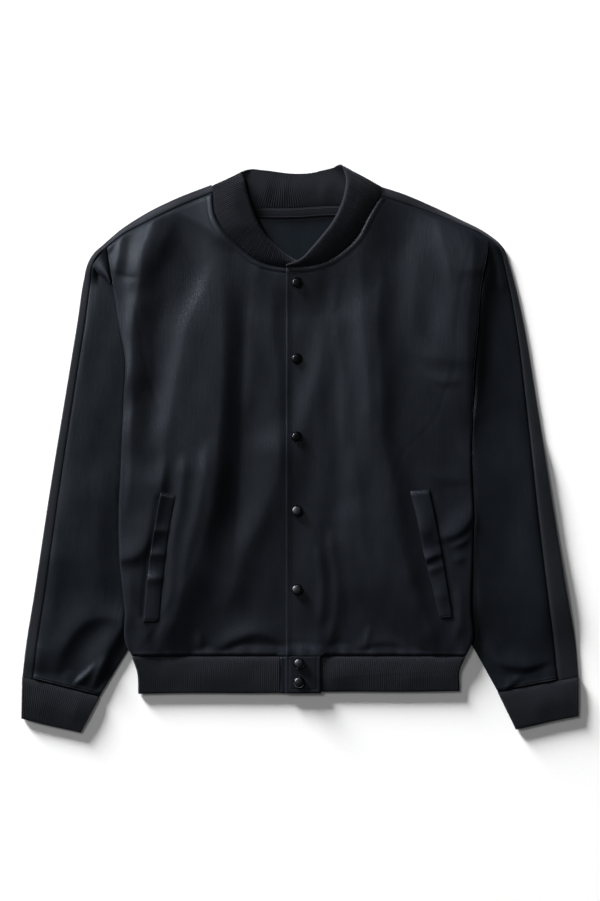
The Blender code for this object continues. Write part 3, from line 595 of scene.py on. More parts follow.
def blurred(values, span):
    """A running mean over span rows."""
    pad = span // 2
    padded = np.vstack([values[:1]] * pad + [values] + [values[-1:]] * pad)
    kernel = np.ones(2 * pad + 1) / (2 * pad + 1)
    return np.column_stack([np.convolve(column, kernel, "valid") for column in padded.T])


def inward(line, toward, blur=0):
    """Unit vectors square to a line at each of its points, on the side given by toward."""
    along = np.gradient(line[:, :2], axis=0)
    normal = unit(np.column_stack([-along[:, 1], along[:, 0]]) * toward)
    return unit(blurred(normal, blur)) if blur else normal


def moved(line, distance, toward, blur=0):
    """A line moved sideways; distance is a number or one number for each point."""
    distance = np.broadcast_to(distance, len(line))[:, None]
    return line[:, :2] + inward(line, toward, blur) * distance


def lerp(a, b, t):
    """The point a share t of the way from a to b."""
    return a + (b - a) * t


def patch(bottom, top, start, end):
    """Fill four edges with a grid: bottom and top run from start to end (Coons patch)."""
    v = np.linspace(0, 1, len(start))[:, None, None]
    u = np.linspace(0, 1, len(bottom))[None, :, None]
    across = lerp(start[:, None], end[:, None], u)
    upward = lerp(bottom[None], top[None], v)
    corner = lerp(lerp(bottom[0], bottom[-1], u), lerp(top[0], top[-1], u), v)
    return across + upward - corner


def lifted(flat, height):
    """Give a grid or line of flat points its heights."""
    height = np.broadcast_to(height, flat.shape[:-1])
    return np.concatenate([flat, height[..., None]], axis=-1)


def nearest(line, x, y):
    """Distance of many points from a line, + on its right side, and the share along it."""
    reach = distances(line)
    best = np.full(np.shape(x), np.inf)
    side = np.ones(np.shape(x))
    share = np.zeros(np.shape(x))
    for (ax, ay), (bx, by), at, leg in zip(line, line[1:], reach, np.diff(reach)):
        ux, uy = (bx - ax) / leg, (by - ay) / leg
        ahead = np.clip((x - ax) * ux + (y - ay) * uy, 0, leg)
        dx, dy = x - ax - ux * ahead, y - ay - uy * ahead
        away = np.hypot(dx, dy)
        closer = away < best
        best = np.where(closer, away, best)
        side = np.where(closer, np.sign(dx * uy - dy * ux + 1e-9), side)
        share = np.where(closer, (at + ahead) / reach[-1], share)
    return best * side, share


def side_sign(side):
    """-1 on the wearer's right, +1 on the left."""
    return -1 if side == "right" else 1


# ---- heights: each layer lies on the ones below --------------------------------------------

def level(plies):
    """Middle height of cloth that lies on this many layers."""
    return LEVEL_0 + PLY * plies


def softer_max(a, b, blend):
    """The higher of two heights, with a soft change from one to the other."""
    highest = (a + b + np.sqrt((a - b) ** 2 + blend ** 2)) / 2
    return highest - blend / 2 * bell(a - b, blend)


def cover_limit(side):
    """How far the layers below a front's side reach inwards: y, distance from the middle."""
    fold = [(y, abs(x)) for x, y in reversed(INNER_FOLD[side][1:-2])]
    turned = [(y, abs(x) - look_up(TURN_UNDER[side], y)) for x, y in ARMHOLE_EDGE[side]]
    return [(HEM_TOP, HEM_COVER)] + fold + turned


def side_lift(side, x, y):
    """1 where the sleeve lies below the side of the body, 0 in the middle."""
    reach = look_up(cover_limit(side), y)
    return ramp(np.abs(x), reach - COVER_EASE[0], reach - COVER_EASE[1])


def front_lift(side, x, y):
    """How far a front has risen, from 0 to 1, never less than what lies below it needs."""
    table = smooth(FRONT_EASE[side])
    start, end, share = (np.interp(y, table[:, 0], column) for column in table[:, 1:].T)
    risen = ramp(np.abs(x), start, end) * share + ramp(np.abs(x), *SHOULDER_EASE) * (1 - share)
    return softer_max(risen, side_lift(side, x, y), LIFT_BLEND)


def shoulder_fall(side, x, y):
    """How far a front has come down towards the shoulder seam, all the way at the seam itself."""
    away = np.abs(nearest(spaced(shoulder_seam(side), SHOULDER_POINTS), x, y)[0])
    return SHOULDER_FALL * (1 - ramp(away, -SHOULDER_WIDTH[side], SHOULDER_WIDTH[side])) * 2


def neck_rise(x, y):
    """The collar lifts the cloth around it."""
    away = np.hypot(x - NECK_CENTRE[0], y - NECK_CENTRE[1])
    return NECK_RISE * (1 - ramp(away, *NECK_EASE))


def ripple(x, y):
    """Faint waves across the whole jacket, longer up and down than across."""
    height = np.zeros(np.shape(x))
    for length, lean, phase in RIPPLES:
        bend = RIPPLE_BEND * np.sin(y / RIPPLE_BEND_LENGTH + phase)
        height = height + np.sin((x + lean * y) * math.tau / length + phase + bend)
    return height * RIPPLE / len(RIPPLES)


def relief(creases, x, y):
    """Height that a table of creases adds to a panel."""
    slow, fast, across = WANDER_LENGTH
    bent_x = x + WANDER * np.sin(y / slow + WANDER_PHASE) + WANDER * np.sin(y / fast) / WANDER_SHARE
    bent_y = y + WANDER * np.sin(x / across)
    height = ripple(x, y)
    for line, on_right, on_left, rise in creases:
        path = smooth(line, CREASE_STEPS)
        away, share = nearest(path, bent_x, bent_y)
        fade = (CREASE_FADE[0] + CREASE_FADE[1] * max(on_right, on_left)) / distances(path)[-1]
        fade = min(fade, 0.5)
        ends = ramp(share, 0, fade) * (1 - ramp(share, 1 - fade, 1))
        width = np.where(away > 0, on_right, on_left) * (CREASE_TAPER + (1 - CREASE_TAPER) * ends)
        height += rise * ends * np.exp(-np.abs(away / width) ** CREASE_SHAPE)
    return height


def gathers(x, away):
    """Small uneven tucks that a band draws into the cloth, fading with distance from it."""
    wave = 0.0
    for length, share, phase, wobble in GATHERS:
        wave = wave + share * np.sin(x / length + phase + wobble * np.sin(x / WOBBLE_LENGTH))
    return GATHER * wave * np.exp(-np.abs(away) / GATHER_REACH)


def seam_profile(away, band, strength=1.0):
    """Height beside a seam: a dip, then the allowance below the cloth, then the stitching."""
    dip = -SEAM_DIP * bell(away, SEAM_WIDTH)
    raised = SEAM_RAISE * ramp(away, *RAISE_START) * (1 - ramp(away, *(band + end for end in RAISE_END)))
    groove = -STITCH_GROOVE * bell(away - band, STITCH_WIDTH)
    return (dip + raised + groove) * strength


def back_height(x, y):
    """The back lies on the table, and on the sleeves below its sides."""
    height = np.zeros(np.shape(x))
    for side in SIDES:
        here = (x < 0) if side == "right" else (x >= 0)
        height = np.where(here, side_lift(side, x, y), height)
    below_underarm = 1 - ramp(y, *UNDERARM_EASE)
    return level(SLEEVE_LAYERS * height * below_underarm)


def front_base(side, x, y):
    """Height of a front without its seams; the left one lies on the right one's edge."""
    lift = front_lift(side, x, y)
    creases = relief(FRONT_CREASES[side], x, y)
    fallen = shoulder_fall(side, x, y) * (SHOULDER_SHARE + (1 - SHOULDER_SHARE) * lift)
    height = level(1 + SLEEVE_LAYERS * lift) + AIR * lift + neck_rise(x, y) + creases - fallen
    least = level(1 + SLEEVE_LAYERS * side_lift(side, x, y)) - CLOSE
    height = softer_max(height, least, LAYER_BLEND)
    on_band = RIB_HIGH_Z * (1 - ramp(y, HEM_TOP, HEM_TOP + HEM_EASE))
    height = softer_max(height, on_band, HEM_BLEND) + gathers(x, y - HEM_TOP)
    if side == "left":
        lap = 1 - ramp(x, *(FRONT_EDGE + LAP + ease for ease in LAP_EASE))
        height += (LAP_RISE + relief(FRONT_CREASES["right"], x, y)) * lap
        on_block = 1 - ramp(x, BLOCK_END["left"], BLOCK_END["left"] + BLOCK_EASE[0])
        height += BLOCK_RISE * on_block * (1 - ramp(y, HEM_TOP, HEM_TOP + BLOCK_EASE[1]))
    return height


def front_surface(side, x, y):
    """Height of a front with the dips, bands and stitching of its seams."""
    height = front_base(side, x, y)
    for line, band, strength in front_seams(side):
        height += seam_profile(np.abs(nearest(line, x, y)[0]), band, strength)
    opening = smooth([(row[0], row[1]) for row in WELT[side]], CREASE_STEPS)
    away, share = nearest(opening, x, y)
    pressed = bell(away * -side_sign(side) - PRESS_AT, PRESS_WIDTH)
    along = ramp(share, 0.0, PRESS_FADE) * (1 - ramp(share, 1 - PRESS_FADE, 1.0))
    return height - WELT_PRESS * pressed * along


def turned_under_height(side, x, y):
    """Height of the strip of a front that turns under at its side."""
    return level(SLEEVE_LAYERS * side_lift(side, x, y))


# ---- shared seam lines ----------------------------------------------------------------------

def stripe_lines(side):
    """The stripe's fold, front seam and back seam, each a line of stations, neck to cuff."""
    dense = smooth(STRIPE_ON_BODY[side] + STRIPE_ON_SLEEVE[side][1:])
    armhole = LEG_STEPS * (len(STRIPE_ON_BODY[side]) - 1)
    on_body = spaced(dense[:armhole + 1], FRONT_COLUMNS)
    on_sleeve = spaced(dense[armhole:], SLEEVE_ROWS)
    stations = np.vstack([on_body, on_sleeve[1:]])
    toward = -side_sign(side)
    fold, shown = stations[:, :2], stations[:, 2]
    lines = [fold.copy(), moved(fold, shown, toward, STRIPE_BLUR),
             moved(fold, STRIPE - shown, toward, STRIPE_BLUR)]
    for line in lines:
        reach = distances(line)
        eased = ramp(reach, reach[-1] - CUFF_EASE, reach[-1])
        line += (on_cuff_seam(side, line[-1, 0]) - line[-1]) * eased[:, None]
    return lines


def shoulder_seam(side):
    """Stations along the seam from a front to its stripe, neck to armhole."""
    return stripe_lines(side)[1][:FRONT_COLUMNS + 1]


def on_cuff_seam(side, x):
    """The point of the cuff seam at an x."""
    (x0, y0), (x1, y1) = CUFF_SEAM[side]
    return np.array([x, y0 + (y1 - y0) * (x - x0) / (x1 - x0)])


def neck_line(side):
    """Stations along a front's neck seam, shoulder to front edge."""
    return spaced(smooth([tuple(stripe_lines(side)[1][0])] + NECK_SEAM[side]), NECK_ROWS)


def back_neck_line():
    """Stations along the back neck seam, right to left."""
    ends = [tuple(stripe_lines(side)[2][0]) for side in SIDES]
    return spaced(smooth([ends[0]] + BACK_NECK + [ends[1]]), BACK_NECK_COLUMNS)


def turned_under_line(side, line):
    """The inner edge of the strip that turns under at the side of a front."""
    widths = look_up(TURN_UNDER[side], line[:, 1])
    inner_edge = moved(line, widths, side_sign(side), TURN_BLUR)
    if line[0, 1] < SIDE_EDGE[side][1][1]:
        inner_edge[0, 1] = HEM_TOP + HEM_GAP
    return inner_edge


def side_line(side):
    """The body's edge, from the hem to the top of the strip that turns under it."""
    dense = smooth(SIDE_EDGE[side] + ARMHOLE_EDGE[side][1:])
    underarm = LEG_STEPS * (len(SIDE_EDGE[side]) - 1)
    below = spaced(dense[:underarm + 1], SIDE_ROWS)
    above = spaced(dense[underarm:], ARMHOLE_ROWS - RIDGE_ROWS[side])
    return np.vstack([below, above[1:]])


def front_seams(side):
    """Seams at the edges of a front: line, distance to its stitching, strength."""
    block_end = BLOCK_END[side] + side_sign(side) * HEM_BAND
    hem = np.array([(block_end, HEM_TOP), (side_sign(side) * HEM_COVER, HEM_TOP)])
    seams = [(spaced(neck_line(side), NECK_POINTS), NECK_BAND, NECK_SEAM_STRENGTH[side]),
             (spaced(shoulder_seam(side), SHOULDER_POINTS), SHOULDER_BAND, 1.0),
             (hem, HEM_BAND, HEM_SEAM_STRENGTH)]
    if side == "left":
        edge = FRONT_EDGE - PLACKET_OUT
        placket = np.array([(edge, HEM_TOP), (edge, NECK_SEAM[side][-1][1])])
        seams.append((placket, PLACKET_BAND + PLACKET_OUT, PLACKET_STRENGTH))
    return seams


# ---- meshes -----------------------------------------------------------------------------------

def placed(name, data):
    """A new object, placed in the scene."""
    made = bpy.data.objects.new(name, data)
    bpy.context.scene.collection.objects.link(made)
    return made


def mesh_of(name, points, faces, maps=None):
    """A mesh object from arrays of points in millimetres and of four-cornered faces."""
    mesh = bpy.data.meshes.new(name)
    mesh.from_pydata((points * MM).tolist(), [], faces.tolist())
    if maps is not None:
        layer = mesh.uv_layers.new(name=CLOTH_MAP)
        corners = np.empty(len(mesh.loops), int)
        mesh.loops.foreach_get("vertex_index", corners)
        layer.data.foreach_set("uv", maps[corners].astype(np.float32).ravel())
    mesh.shade_smooth()
    return placed(name, mesh)


def grid_faces(rows, columns, ring):
    """Corners of the cells of a grid of points."""
    across = columns if ring else columns - 1
    j, i = np.meshgrid(np.arange(rows - 1), np.arange(across), indexing="ij")
    k = (i + 1) % columns
    cells = (j * columns + i, j * columns + k, (j + 1) * columns + k, (j + 1) * columns + i)
    return np.stack(cells, axis=-1).reshape(-1, 4)


def weave_map(grid, straight):
    """The cloth's own millimetres at each point, along its grid or straight along x and y."""
    if straight:
        return grid[..., :2].reshape(-1, 2)
    u = np.cumsum(np.linalg.norm(np.diff(grid, axis=1, prepend=grid[:, :1]), axis=2), axis=1)
    v = np.cumsum(np.linalg.norm(np.diff(grid, axis=0, prepend=grid[:1]), axis=2), axis=0)
    return np.stack([u, v], axis=-1).reshape(-1, 2)


def cloth(name, grid, wall, look, ring=False, underside=None, straight=False):
    """A cloth piece on a grid of points, with gaps where a point is nan, in place of its solid."""
    rows, columns = grid.shape[:2]
    points = grid.reshape(-1, 3)
    faces = grid_faces(rows, columns, ring)
    there = ~np.isnan(points[:, 0])
    faces = faces[there[faces].all(axis=1)]
    used = np.zeros(len(points), bool)
    used[faces] = True
    number = np.cumsum(used) - 1
    maps = weave_map(np.nan_to_num(grid), straight)
    piece = mesh_of(name + "_cloth", points[used], number[faces], maps[used])
    piece.data.materials.append(look)
    shell = piece.modifiers.new("Wall", "SOLIDIFY")
    shell.thickness = wall * MM
    shell.offset = 0
    if underside:
        piece.data.materials.append(underside)
        shell.material_offset = 1
    rim = piece.modifiers.new("Rim", "BEVEL")
    rim.width = wall * RIM_SHARE * MM
    rim.segments = 2
    rim.angle_limit = RIM_ANGLE
    stand_for(piece, name)
    return piece


def stand_for(piece, node):
    """Show a piece in place of its CAD node."""
    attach(piece, "root")
    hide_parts(node)


def gap(rows, columns):
    """Missing points of a grid."""
    return np.full((rows, columns, 3), np.nan)


def rounded(line, outward, high, low):
    """Columns of points round a folded edge, from its top layer to the one below."""
    out = inward(line, outward)
    middle, half = (high + low) / 2, (high - low) / 2
    columns = []
    for angle in np.linspace(0, math.pi, FOLD_STEPS + 1):
        flat = line[:, :2] - out * TURN * (1 - math.sin(angle))
        columns.append(lifted(flat, middle + half * math.cos(angle)))
    return np.stack(columns, axis=1)


def strip(start, end, columns):
    """Points across a strip between two lines, without the first line."""
    share = (np.arange(1, columns + 1) / columns)[None, :, None]
    return lerp(start[:, None], end[:, None], share)


def ribbed(grid, band, ring=False):
    """Raise the ribs that run across a band's length."""
    across = np.gradient(grid, axis=0)
    along = np.gradient(grid, axis=1)
    if ring:
        along = np.roll(grid, -1, axis=1) - np.roll(grid, 1, axis=1)
    normal = unit(np.cross(along, across))
    middle = grid[len(grid) // 2]
    if ring:
        middle = np.vstack([middle, middle[:1]])
    reach = distances(middle)
    pitch, depth = RIBS[band]
    ribs = round(reach[-1] / pitch)
    phase = reach[:grid.shape[1]] / reach[-1] * ribs * math.pi
    wave = 2 * np.abs(np.sin(phase)) ** RIB_SHAPE - 1
    return grid + normal * (depth * wave)[None, :, None]


def stitches(name, lines, look):
    """Rows of stitches, joined in one piece; each row follows a line of points on the cloth."""
    places, ahead = [], []
    for line in lines:
        reach = distances(line)
        at = (np.arange(int(reach[-1] / STITCH_PITCH)) + 0.5) * STITCH_PITCH
        places.append(read_at(line, reach, at))
        ahead.append(read_at(line, reach, at + STITCH_PITCH / 4) - places[-1])
    place, along = np.vstack(places), unit(np.vstack(ahead))
    side = unit(np.cross(along, (0, 0, 1)))
    up = np.cross(side, along)
    rings = []
    for reach, swell in STITCH_RINGS:
        for angle in np.arange(STITCH_SIDES) * math.tau / STITCH_SIDES:
            out = side * math.cos(angle) + up * math.sin(angle)
            sunk = up * (STITCH_SINK * reach * reach)
            forward = along * (reach * STITCH_PITCH * STITCH_SHARE)
            rings.append(place + forward + out * (STITCH_R * swell) - sunk)
    points = np.stack(rings, axis=1)
    size = points.shape[1]
    faces = grid_faces(len(STITCH_RINGS), STITCH_SIDES, ring=True)
    faces = (np.arange(len(points))[:, None, None] * size + faces[None]).reshape(-1, 4)
    piece = mesh_of(name, points.reshape(-1, 3), faces)
    piece.data.materials.append(look)
    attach(piece, "root")
    return piece


# ---- the pieces -------------------------------------------------------------------------------

def front(side, look):
    """A front: hem to shoulder, front edge to side, with the strip turned under its side."""
    sign = side_sign(side)
    shoulder = moved(shoulder_seam(side), SEAM, -sign)
    edge_line = side_line(side)
    outer = moved(edge_line, TURN, sign)
    if RIDGE_ROWS[side]:
        outer = np.vstack([outer, spaced([outer[-1], shoulder[-1]], RIDGE_ROWS[side])[1:]])
    outer[-1] = shoulder[-1]
    neck = neck_line(side)[::-1]
    edge = spaced([(neck[0, 0], HEM_TOP), neck[0]], SIDE_ROWS + ARMHOLE_ROWS - NECK_ROWS)
    inner = np.vstack([edge, neck[1:]])
    inner[-1] = shoulder[0]
    hem = spaced([inner[0], outer[0]], FRONT_COLUMNS)
    hem[:, 1] = HEM_TOP + HEM_GAP
    inner[0], outer[0] = hem[0], hem[-1]
    flat = patch(hem, shoulder, inner, outer)
    top = lifted(flat, front_surface(side, flat[..., 0], flat[..., 1]))
    # The strip that turns under goes no further up than the armhole's edge
    count = len(edge_line)
    low = turned_under_height(side, edge_line[:, 0], edge_line[:, 1])
    fold = rounded(edge_line, -sign, top[:count, -1, 2], low)[:, 1:]
    ends = lifted(turned_under_line(side, edge_line), low)
    under = np.concatenate([fold, strip(fold[:, -1], ends, STRIP_COLUMNS)], axis=1)
    rest = gap(len(top) - count, under.shape[1])
    grid = np.concatenate([top, np.concatenate([under, rest])], axis=1)
    return cloth("front_" + side, grid, CLOTH, look, straight=True)


def stripe_height(side):
    """Height of a stripe's front layer at each station."""
    front_seam = stripe_lines(side)[1]
    x, y = front_seam.T
    reach = distances(front_seam)
    past = reach - reach[FRONT_COLUMNS] - STRIPE_LEAVES[side]
    on_body = front_base(side, x, y)
    return lerp(on_body, level(1) + sleeve_relief(side, x, y), ramp(past, 0, STRIPE_DROP))


def stripe(side, look):
    """A stripe: one strip from neck to cuff, folded along the jacket's outline."""
    sign = side_sign(side)
    fold, front_seam, back_seam = stripe_lines(side)
    high = stripe_height(side)
    low = np.full(len(high), LEVEL_0)
    on_sleeve = ramp(np.arange(len(high)), FRONT_COLUMNS - STRIPE_BLUR, FRONT_COLUMNS + STRIPE_BLUR)
    fall = np.minimum(lerp(*STRIPE_FALL[side], on_sleeve), high - low - CLOTH)
    folded = rounded(fold, sign, high - fall, low)
    shown = lifted(moved(front_seam, SEAM, sign), high)
    shown_part = np.concatenate([shown[:, None], strip(shown, folded[:, 0], STRIPE_COLUMNS)], axis=1)
    across = np.linspace(0, 1, STRIPE_COLUMNS + 1)
    shown_part[..., 2] = high[:, None] - fall[:, None] * across ** STRIPE_ROUND
    width = np.linalg.norm(shown_part[..., :2] - shown[:, None, :2], axis=2)
    shown_part[..., 2] += seam_profile(width, SHOULDER_BAND)
    folded[:, 0] = shown_part[:, -1]
    hidden = lifted(moved(back_seam, SEAM, sign), low)
    under = strip(folded[:, -1], hidden, 2 * STRIPE_COLUMNS)
    grid = np.concatenate([shown_part, folded[:, 1:], under], axis=1)
    ahead = grid[0] - grid[1]
    grid[0] += unit(ahead) * STRIPE_TUCK
    return cloth("stripe_" + side, grid, CLOTH, look)


def sleeve_relief(side, x, y):
    """Height that creases add to a sleeve's front layer, less of it where the body covers it."""
    body_edge = side_line(side)
    sign = side_sign(side)
    edge_x = np.interp(y, body_edge[:, 1], body_edge[:, 0])
    outside = ramp((x - edge_x) * sign, *SLEEVE_FREE)
    whole = relief(SLEEVE_CREASES[side], x, y)
    return lerp(np.clip(whole, *SLEEVE_COVERED), whole, outside)


def sleeve_layers(side):
    """Flat grids of a sleeve's front and back layers, from its stripe to its inner fold."""
    sign = side_sign(side)
    _, front_seam, back_seam = stripe_lines(side)
    first = FRONT_COLUMNS + SLEEVE_START[side]
    outer = moved(front_seam, SEAM, -sign)[first:]
    back_outer = moved(back_seam, SEAM, -sign)[first:]
    fold = spaced(smooth(INNER_FOLD[side]), len(outer) - 1 - HEAD_ROWS)
    turned = turned_under_line(side, spaced(ARMHOLE_EDGE[side], ARMHOLE_STATIONS))
    head = [np.array(p, float) for p in HEAD_FOLD] if side == "right" else [turned[-2]]
    top_edge = spaced([outer[0]] + head, SLEEVE_COLUMNS)
    armhole = spaced(smooth(head[-1:] + list(turned[-3:0:-1]) + [fold[0]]), HEAD_ROWS)
    back_top = spaced([back_outer[0], lerp(back_outer[0], fold[0], HEAD_SHARE)], SLEEVE_COLUMNS)
    back_armhole = spaced([back_top[-1], fold[0]], HEAD_ROWS)
    cuff_seam = spaced([outer[-1], fold[-1]], SLEEVE_COLUMNS)
    back_cuff = spaced([back_outer[-1], fold[-1]], SLEEVE_COLUMNS)
    top = patch(top_edge, cuff_seam, outer, np.vstack([armhole[:-1], fold]))
    below = patch(back_top, back_cuff, back_outer, np.vstack([back_armhole[:-1], fold]))
    return top, below


def sleeve_front(side, flat):
    """A sleeve's front layer with its heights."""
    x, y = flat[..., 0], flat[..., 1]
    first = FRONT_COLUMNS + SLEEVE_START[side]
    from_seam = np.linalg.norm(flat - flat[:, :1], axis=2)
    risen = (stripe_height(side)[first:] - level(1))[:, None] * (1 - ramp(from_seam, 0, SEAM_FALL))
    own = sleeve_relief(side, x, y) * ramp(from_seam, 0, SEAM_FALL)
    to_cuff = np.abs(nearest(np.array(CUFF_SEAM[side], float), x, y)[0])
    on_cuff = (RIB_HIGH_Z - level(1)) * (1 - ramp(to_cuff, 0, CUFF_EASE))
    height = level(1) + softer_max(risen + own, on_cuff, CUFF_BLEND) + gathers(x, to_cuff)
    height += seam_profile(from_seam, SHOULDER_BAND) + seam_profile(to_cuff, HEM_BAND, CUFF_SEAM_STRENGTH)
    return lifted(flat, height)


def sleeve(side, look):
    """A sleeve, open at armhole and cuff: each row of its grid runs from the stripe across the
    front layer, round the fold below the body and over the back layer to the stripe again."""
    flat, flat_below = sleeve_layers(side)
    top = sleeve_front(side, flat)
    below = lifted(flat_below, level(0))
    fold = top[HEAD_ROWS:, -1]
    folded = rounded(fold, -side_sign(side), fold[:, 2], np.full(len(fold), LEVEL_0))
    middle = np.concatenate([gap(HEAD_ROWS, FOLD_STEPS - 1), folded[:, 1:-1]])
    last = np.concatenate([top[:HEAD_ROWS, -1:], folded[:, :1]])
    back_edge = np.concatenate([below[:HEAD_ROWS, -1:], folded[:, -1:]])
    grid = np.concatenate([top[:, :-1], last, middle, back_edge, below[:, -2::-1]], axis=1)
    if side == "right":
        grid = np.concatenate([sleeve_head(flat[0], grid[0]), grid])
    return cloth("sleeve_" + side, grid, CLOTH, look)


def sleeve_head(fold, first_row):
    """Rows for the head of the right sleeve, which shows above the edge where it folds under."""
    seam_top = moved(stripe_lines("right")[1], HEM_GAP, 1)[FRONT_COLUMNS]
    ridge = spaced([seam_top, ARMHOLE_EDGE["right"][-1]], SLEEVE_COLUMNS)
    ridge[:, 0] -= TURN
    ridge[-1, 1] += HEAD_TIP
    rows = []
    for share in np.linspace(0, 1, HEAD_STEPS + 1):
        flat = lerp(ridge, fold, share)
        height = front_base("right", flat[:, 0], flat[:, 1]) + HEAD_PUFF * math.sin(math.pi * share)
        rows.append(lifted(flat, height))
    rows[0][0, :2] += (HEM_GAP, -HEM_GAP)
    rows[-1][0, :2] += (HEM_GAP, -HEM_GAP)
    last, below = rows[-1], first_row[:len(fold)]
    down = inward(fold, -1)
    for angle in np.linspace(0, math.pi, FOLD_STEPS + 1)[1:-1]:
        point = lerp(last, below, (1 - math.cos(angle)) / 2)
        point[:, :2] += down * TURN * math.sin(angle)
        rows.append(point)
    return np.concatenate([np.stack(rows), gap(len(rows), len(first_row) - len(fold))], axis=1)


def back(look, inside):
    """The back: one panel between the side seams, stripes and back neck."""
    sides, shoulders = {}, {}
    for side in SIDES:
        sign = side_sign(side)
        last = FRONT_COLUMNS + SLEEVE_START[side]
        whole = moved(stripe_lines(side)[2][:last + 1], SEAM, -sign)
        shoulders[side] = spaced(whole, BACK_SHOULDER_COLUMNS)
        shoulders[side][-1, 0] -= sign * 2 * HEM_GAP
        seam = turned_under_line(side, spaced(smooth(SIDE_EDGE[side]), BACK_SIDE_ROWS))
        seam = moved(seam, 2 * SEAM, sign)
        armhole = spaced([INNER_FOLD[side][0], shoulders[side][-1]], BACK_ARMHOLE_ROWS)
        sides[side] = np.vstack([seam, moved(armhole, 2 * SEAM, sign)[1:]])
        sides[side][-1] = shoulders[side][-1]
    neck = back_neck_line() - (0, SEAM)
    top = np.vstack([shoulders["right"][::-1], neck[1:-1], shoulders["left"]])
    hem = spaced([sides["right"][0], sides["left"][0]], len(top) - 1)
    hem[:, 1] = HEM_TOP + HEM_GAP
    for side, at in zip(SIDES, (0, -1)):
        sides[side][0] = hem[at]
    flat = patch(hem, top, sides["right"], sides["left"])
    x, y = flat[..., 0], flat[..., 1]
    soft = np.clip(relief(BACK_CREASES, x, y), 0, BACK_RELIEF)
    grid = lifted(flat, back_height(x, y) + soft)
    return cloth("back", grid, CLOTH, inside, underside=look, straight=True)


def band_turn(at, out, down):
    """Section of a band round its folded side at an x, which lies towards out: x, z.

    It starts on the upper wall where down is 1, and on the lower one where it is -1.
    """
    half, middle = (RIB_HIGH_Z - RIB_LOW_Z) / 2, (RIB_HIGH_Z + RIB_LOW_Z) / 2
    angles = np.linspace(0, math.pi, FOLD_STEPS + 1)
    return [(at - out * TURN + out * TURN * math.sin(a), middle + down * half * math.cos(a)) for a in angles]


def hem_rib(look):
    """The hem band: from the right block round the back to the left block."""
    start, end = (BLOCK_END["right"] - SEAM, RIB_HIGH_Z), (BLOCK_END["left"] + SEAM, RIB_HIGH_Z)
    folds = [spaced(smooth(HEM_SIDE[side]), BAND_ROWS) for side in SIDES]
    rows = []
    for j, (right, left) in enumerate(zip(*folds)):
        down = j / BAND_ROWS
        turns = band_turn(right[0], -1, 1) + band_turn(left[0], 1, -1)
        x, z = spaced([start] + turns + [end], HEM_COLUMNS).T
        y = lerp(right[1], left[1], ramp(x, *HEM_SHARE)) - SEAM
        y = y + EDGE_WAVE * np.sin(x / EDGE_LENGTH["hem"]) * down
        z = z + SLEEVE_LAYERS * PLY * side_lift_at_hem(x) * (1 - down) ** 2
        rows.append(np.column_stack([x, y, z]))
    return cloth("hem_rib", ribbed(banded(np.stack(rows), HEM_CREASES), "hem"), RIB, look)


def side_lift_at_hem(x):
    """How far the sleeves below the body lift the top of the hem band."""
    hem_y = np.full(np.shape(x), HEM_TOP)
    return np.where(x < 0, side_lift("right", x, hem_y), side_lift("left", x, hem_y))


def fullness(share):
    """How full a band is at a share of its width: 0 at seam and fold, and 1 between them."""
    return np.sin(math.pi * share ** BAND_LEAN)


def banded(grid, creases):
    """Round a doubled band a little between its seam and its folded edge, and crease it."""
    share = np.linspace(0, 1, len(grid))
    swell = BAND_SWELL * fullness(share) - BAND_DIP * bell(share, BAND_DIP_SHARE)
    middle = grid[..., 2].mean()
    upper = np.where(grid[..., 2] > middle, 1.0, 0.0)
    soft = relief(creases, grid[..., 0], grid[..., 1]) * np.sin(math.pi * share[:, None])
    grid[..., 2] += (swell[:, None] + soft) * upper
    return grid


def hem_block(side, look):
    """A tricot block at an end of the hem band; the left one lies over the right one."""
    ends = {"right": (BLOCK_END["right"], FRONT_EDGE + LAP), "left": (FRONT_EDGE, BLOCK_END["left"])}
    height = UNDER_BLOCK_Z if side == "right" else OVER_BLOCK_Z
    (x0, x1), y0, y1 = ends[side], HEM_TOP + BLOCK_TOP[side], HEM_BOTTOM
    x, y = np.meshgrid(np.linspace(x0, x1, BLOCK_STEPS), np.linspace(y0, y1, BLOCK_STEPS))
    grid = np.stack([x, y, np.full(x.shape, height)], axis=-1)
    edge = np.minimum(np.minimum(x - x0, x1 - x), y - y1)
    groove = STITCH_GROOVE * bell(edge - BLOCK_STITCH, STITCH_WIDTH)
    grid[..., 2] += BLOCK_SWELL * ramp(edge, 0, BLOCK_EDGE) - groove
    if side == "right":
        grid[..., 2] -= SEAM_DIP / 2 * bell(y0 - y, SEAM_WIDTH)
    return cloth("hem_block_" + side, grid, BLOCK, look)


def cuff(side, look):
    """A cuff: a flattened rib tube."""
    seam = np.array(CUFF_SEAM[side], float) - (0, SEAM)
    edge = np.array(CUFF_EDGE[side], float)
    rows = []
    for share in np.linspace(0, 1, BAND_ROWS + 1):
        outer, inner = lerp(seam, edge, share)
        length = np.linalg.norm(inner - outer)
        along = (inner - outer) / length
        far, near = band_turn(length, 1, 1), band_turn(0, -1, -1)
        path = spaced(far + near + far[:1], CUFF_COLUMNS)[:-1]
        wave = EDGE_WAVE * np.sin(path[:, 0] / EDGE_LENGTH["cuff"]) * share
        flat = outer + along * path[:, :1] + np.array([(along[1], -along[0])]) * wave[:, None]
        rows.append(lifted(flat, path[:, 1]))
    grid = ribbed(banded(np.stack(rows), CUFF_CREASES[side]), "cuff", ring=True)
    return cloth("cuff_" + side, grid, RIB, look, ring=True)


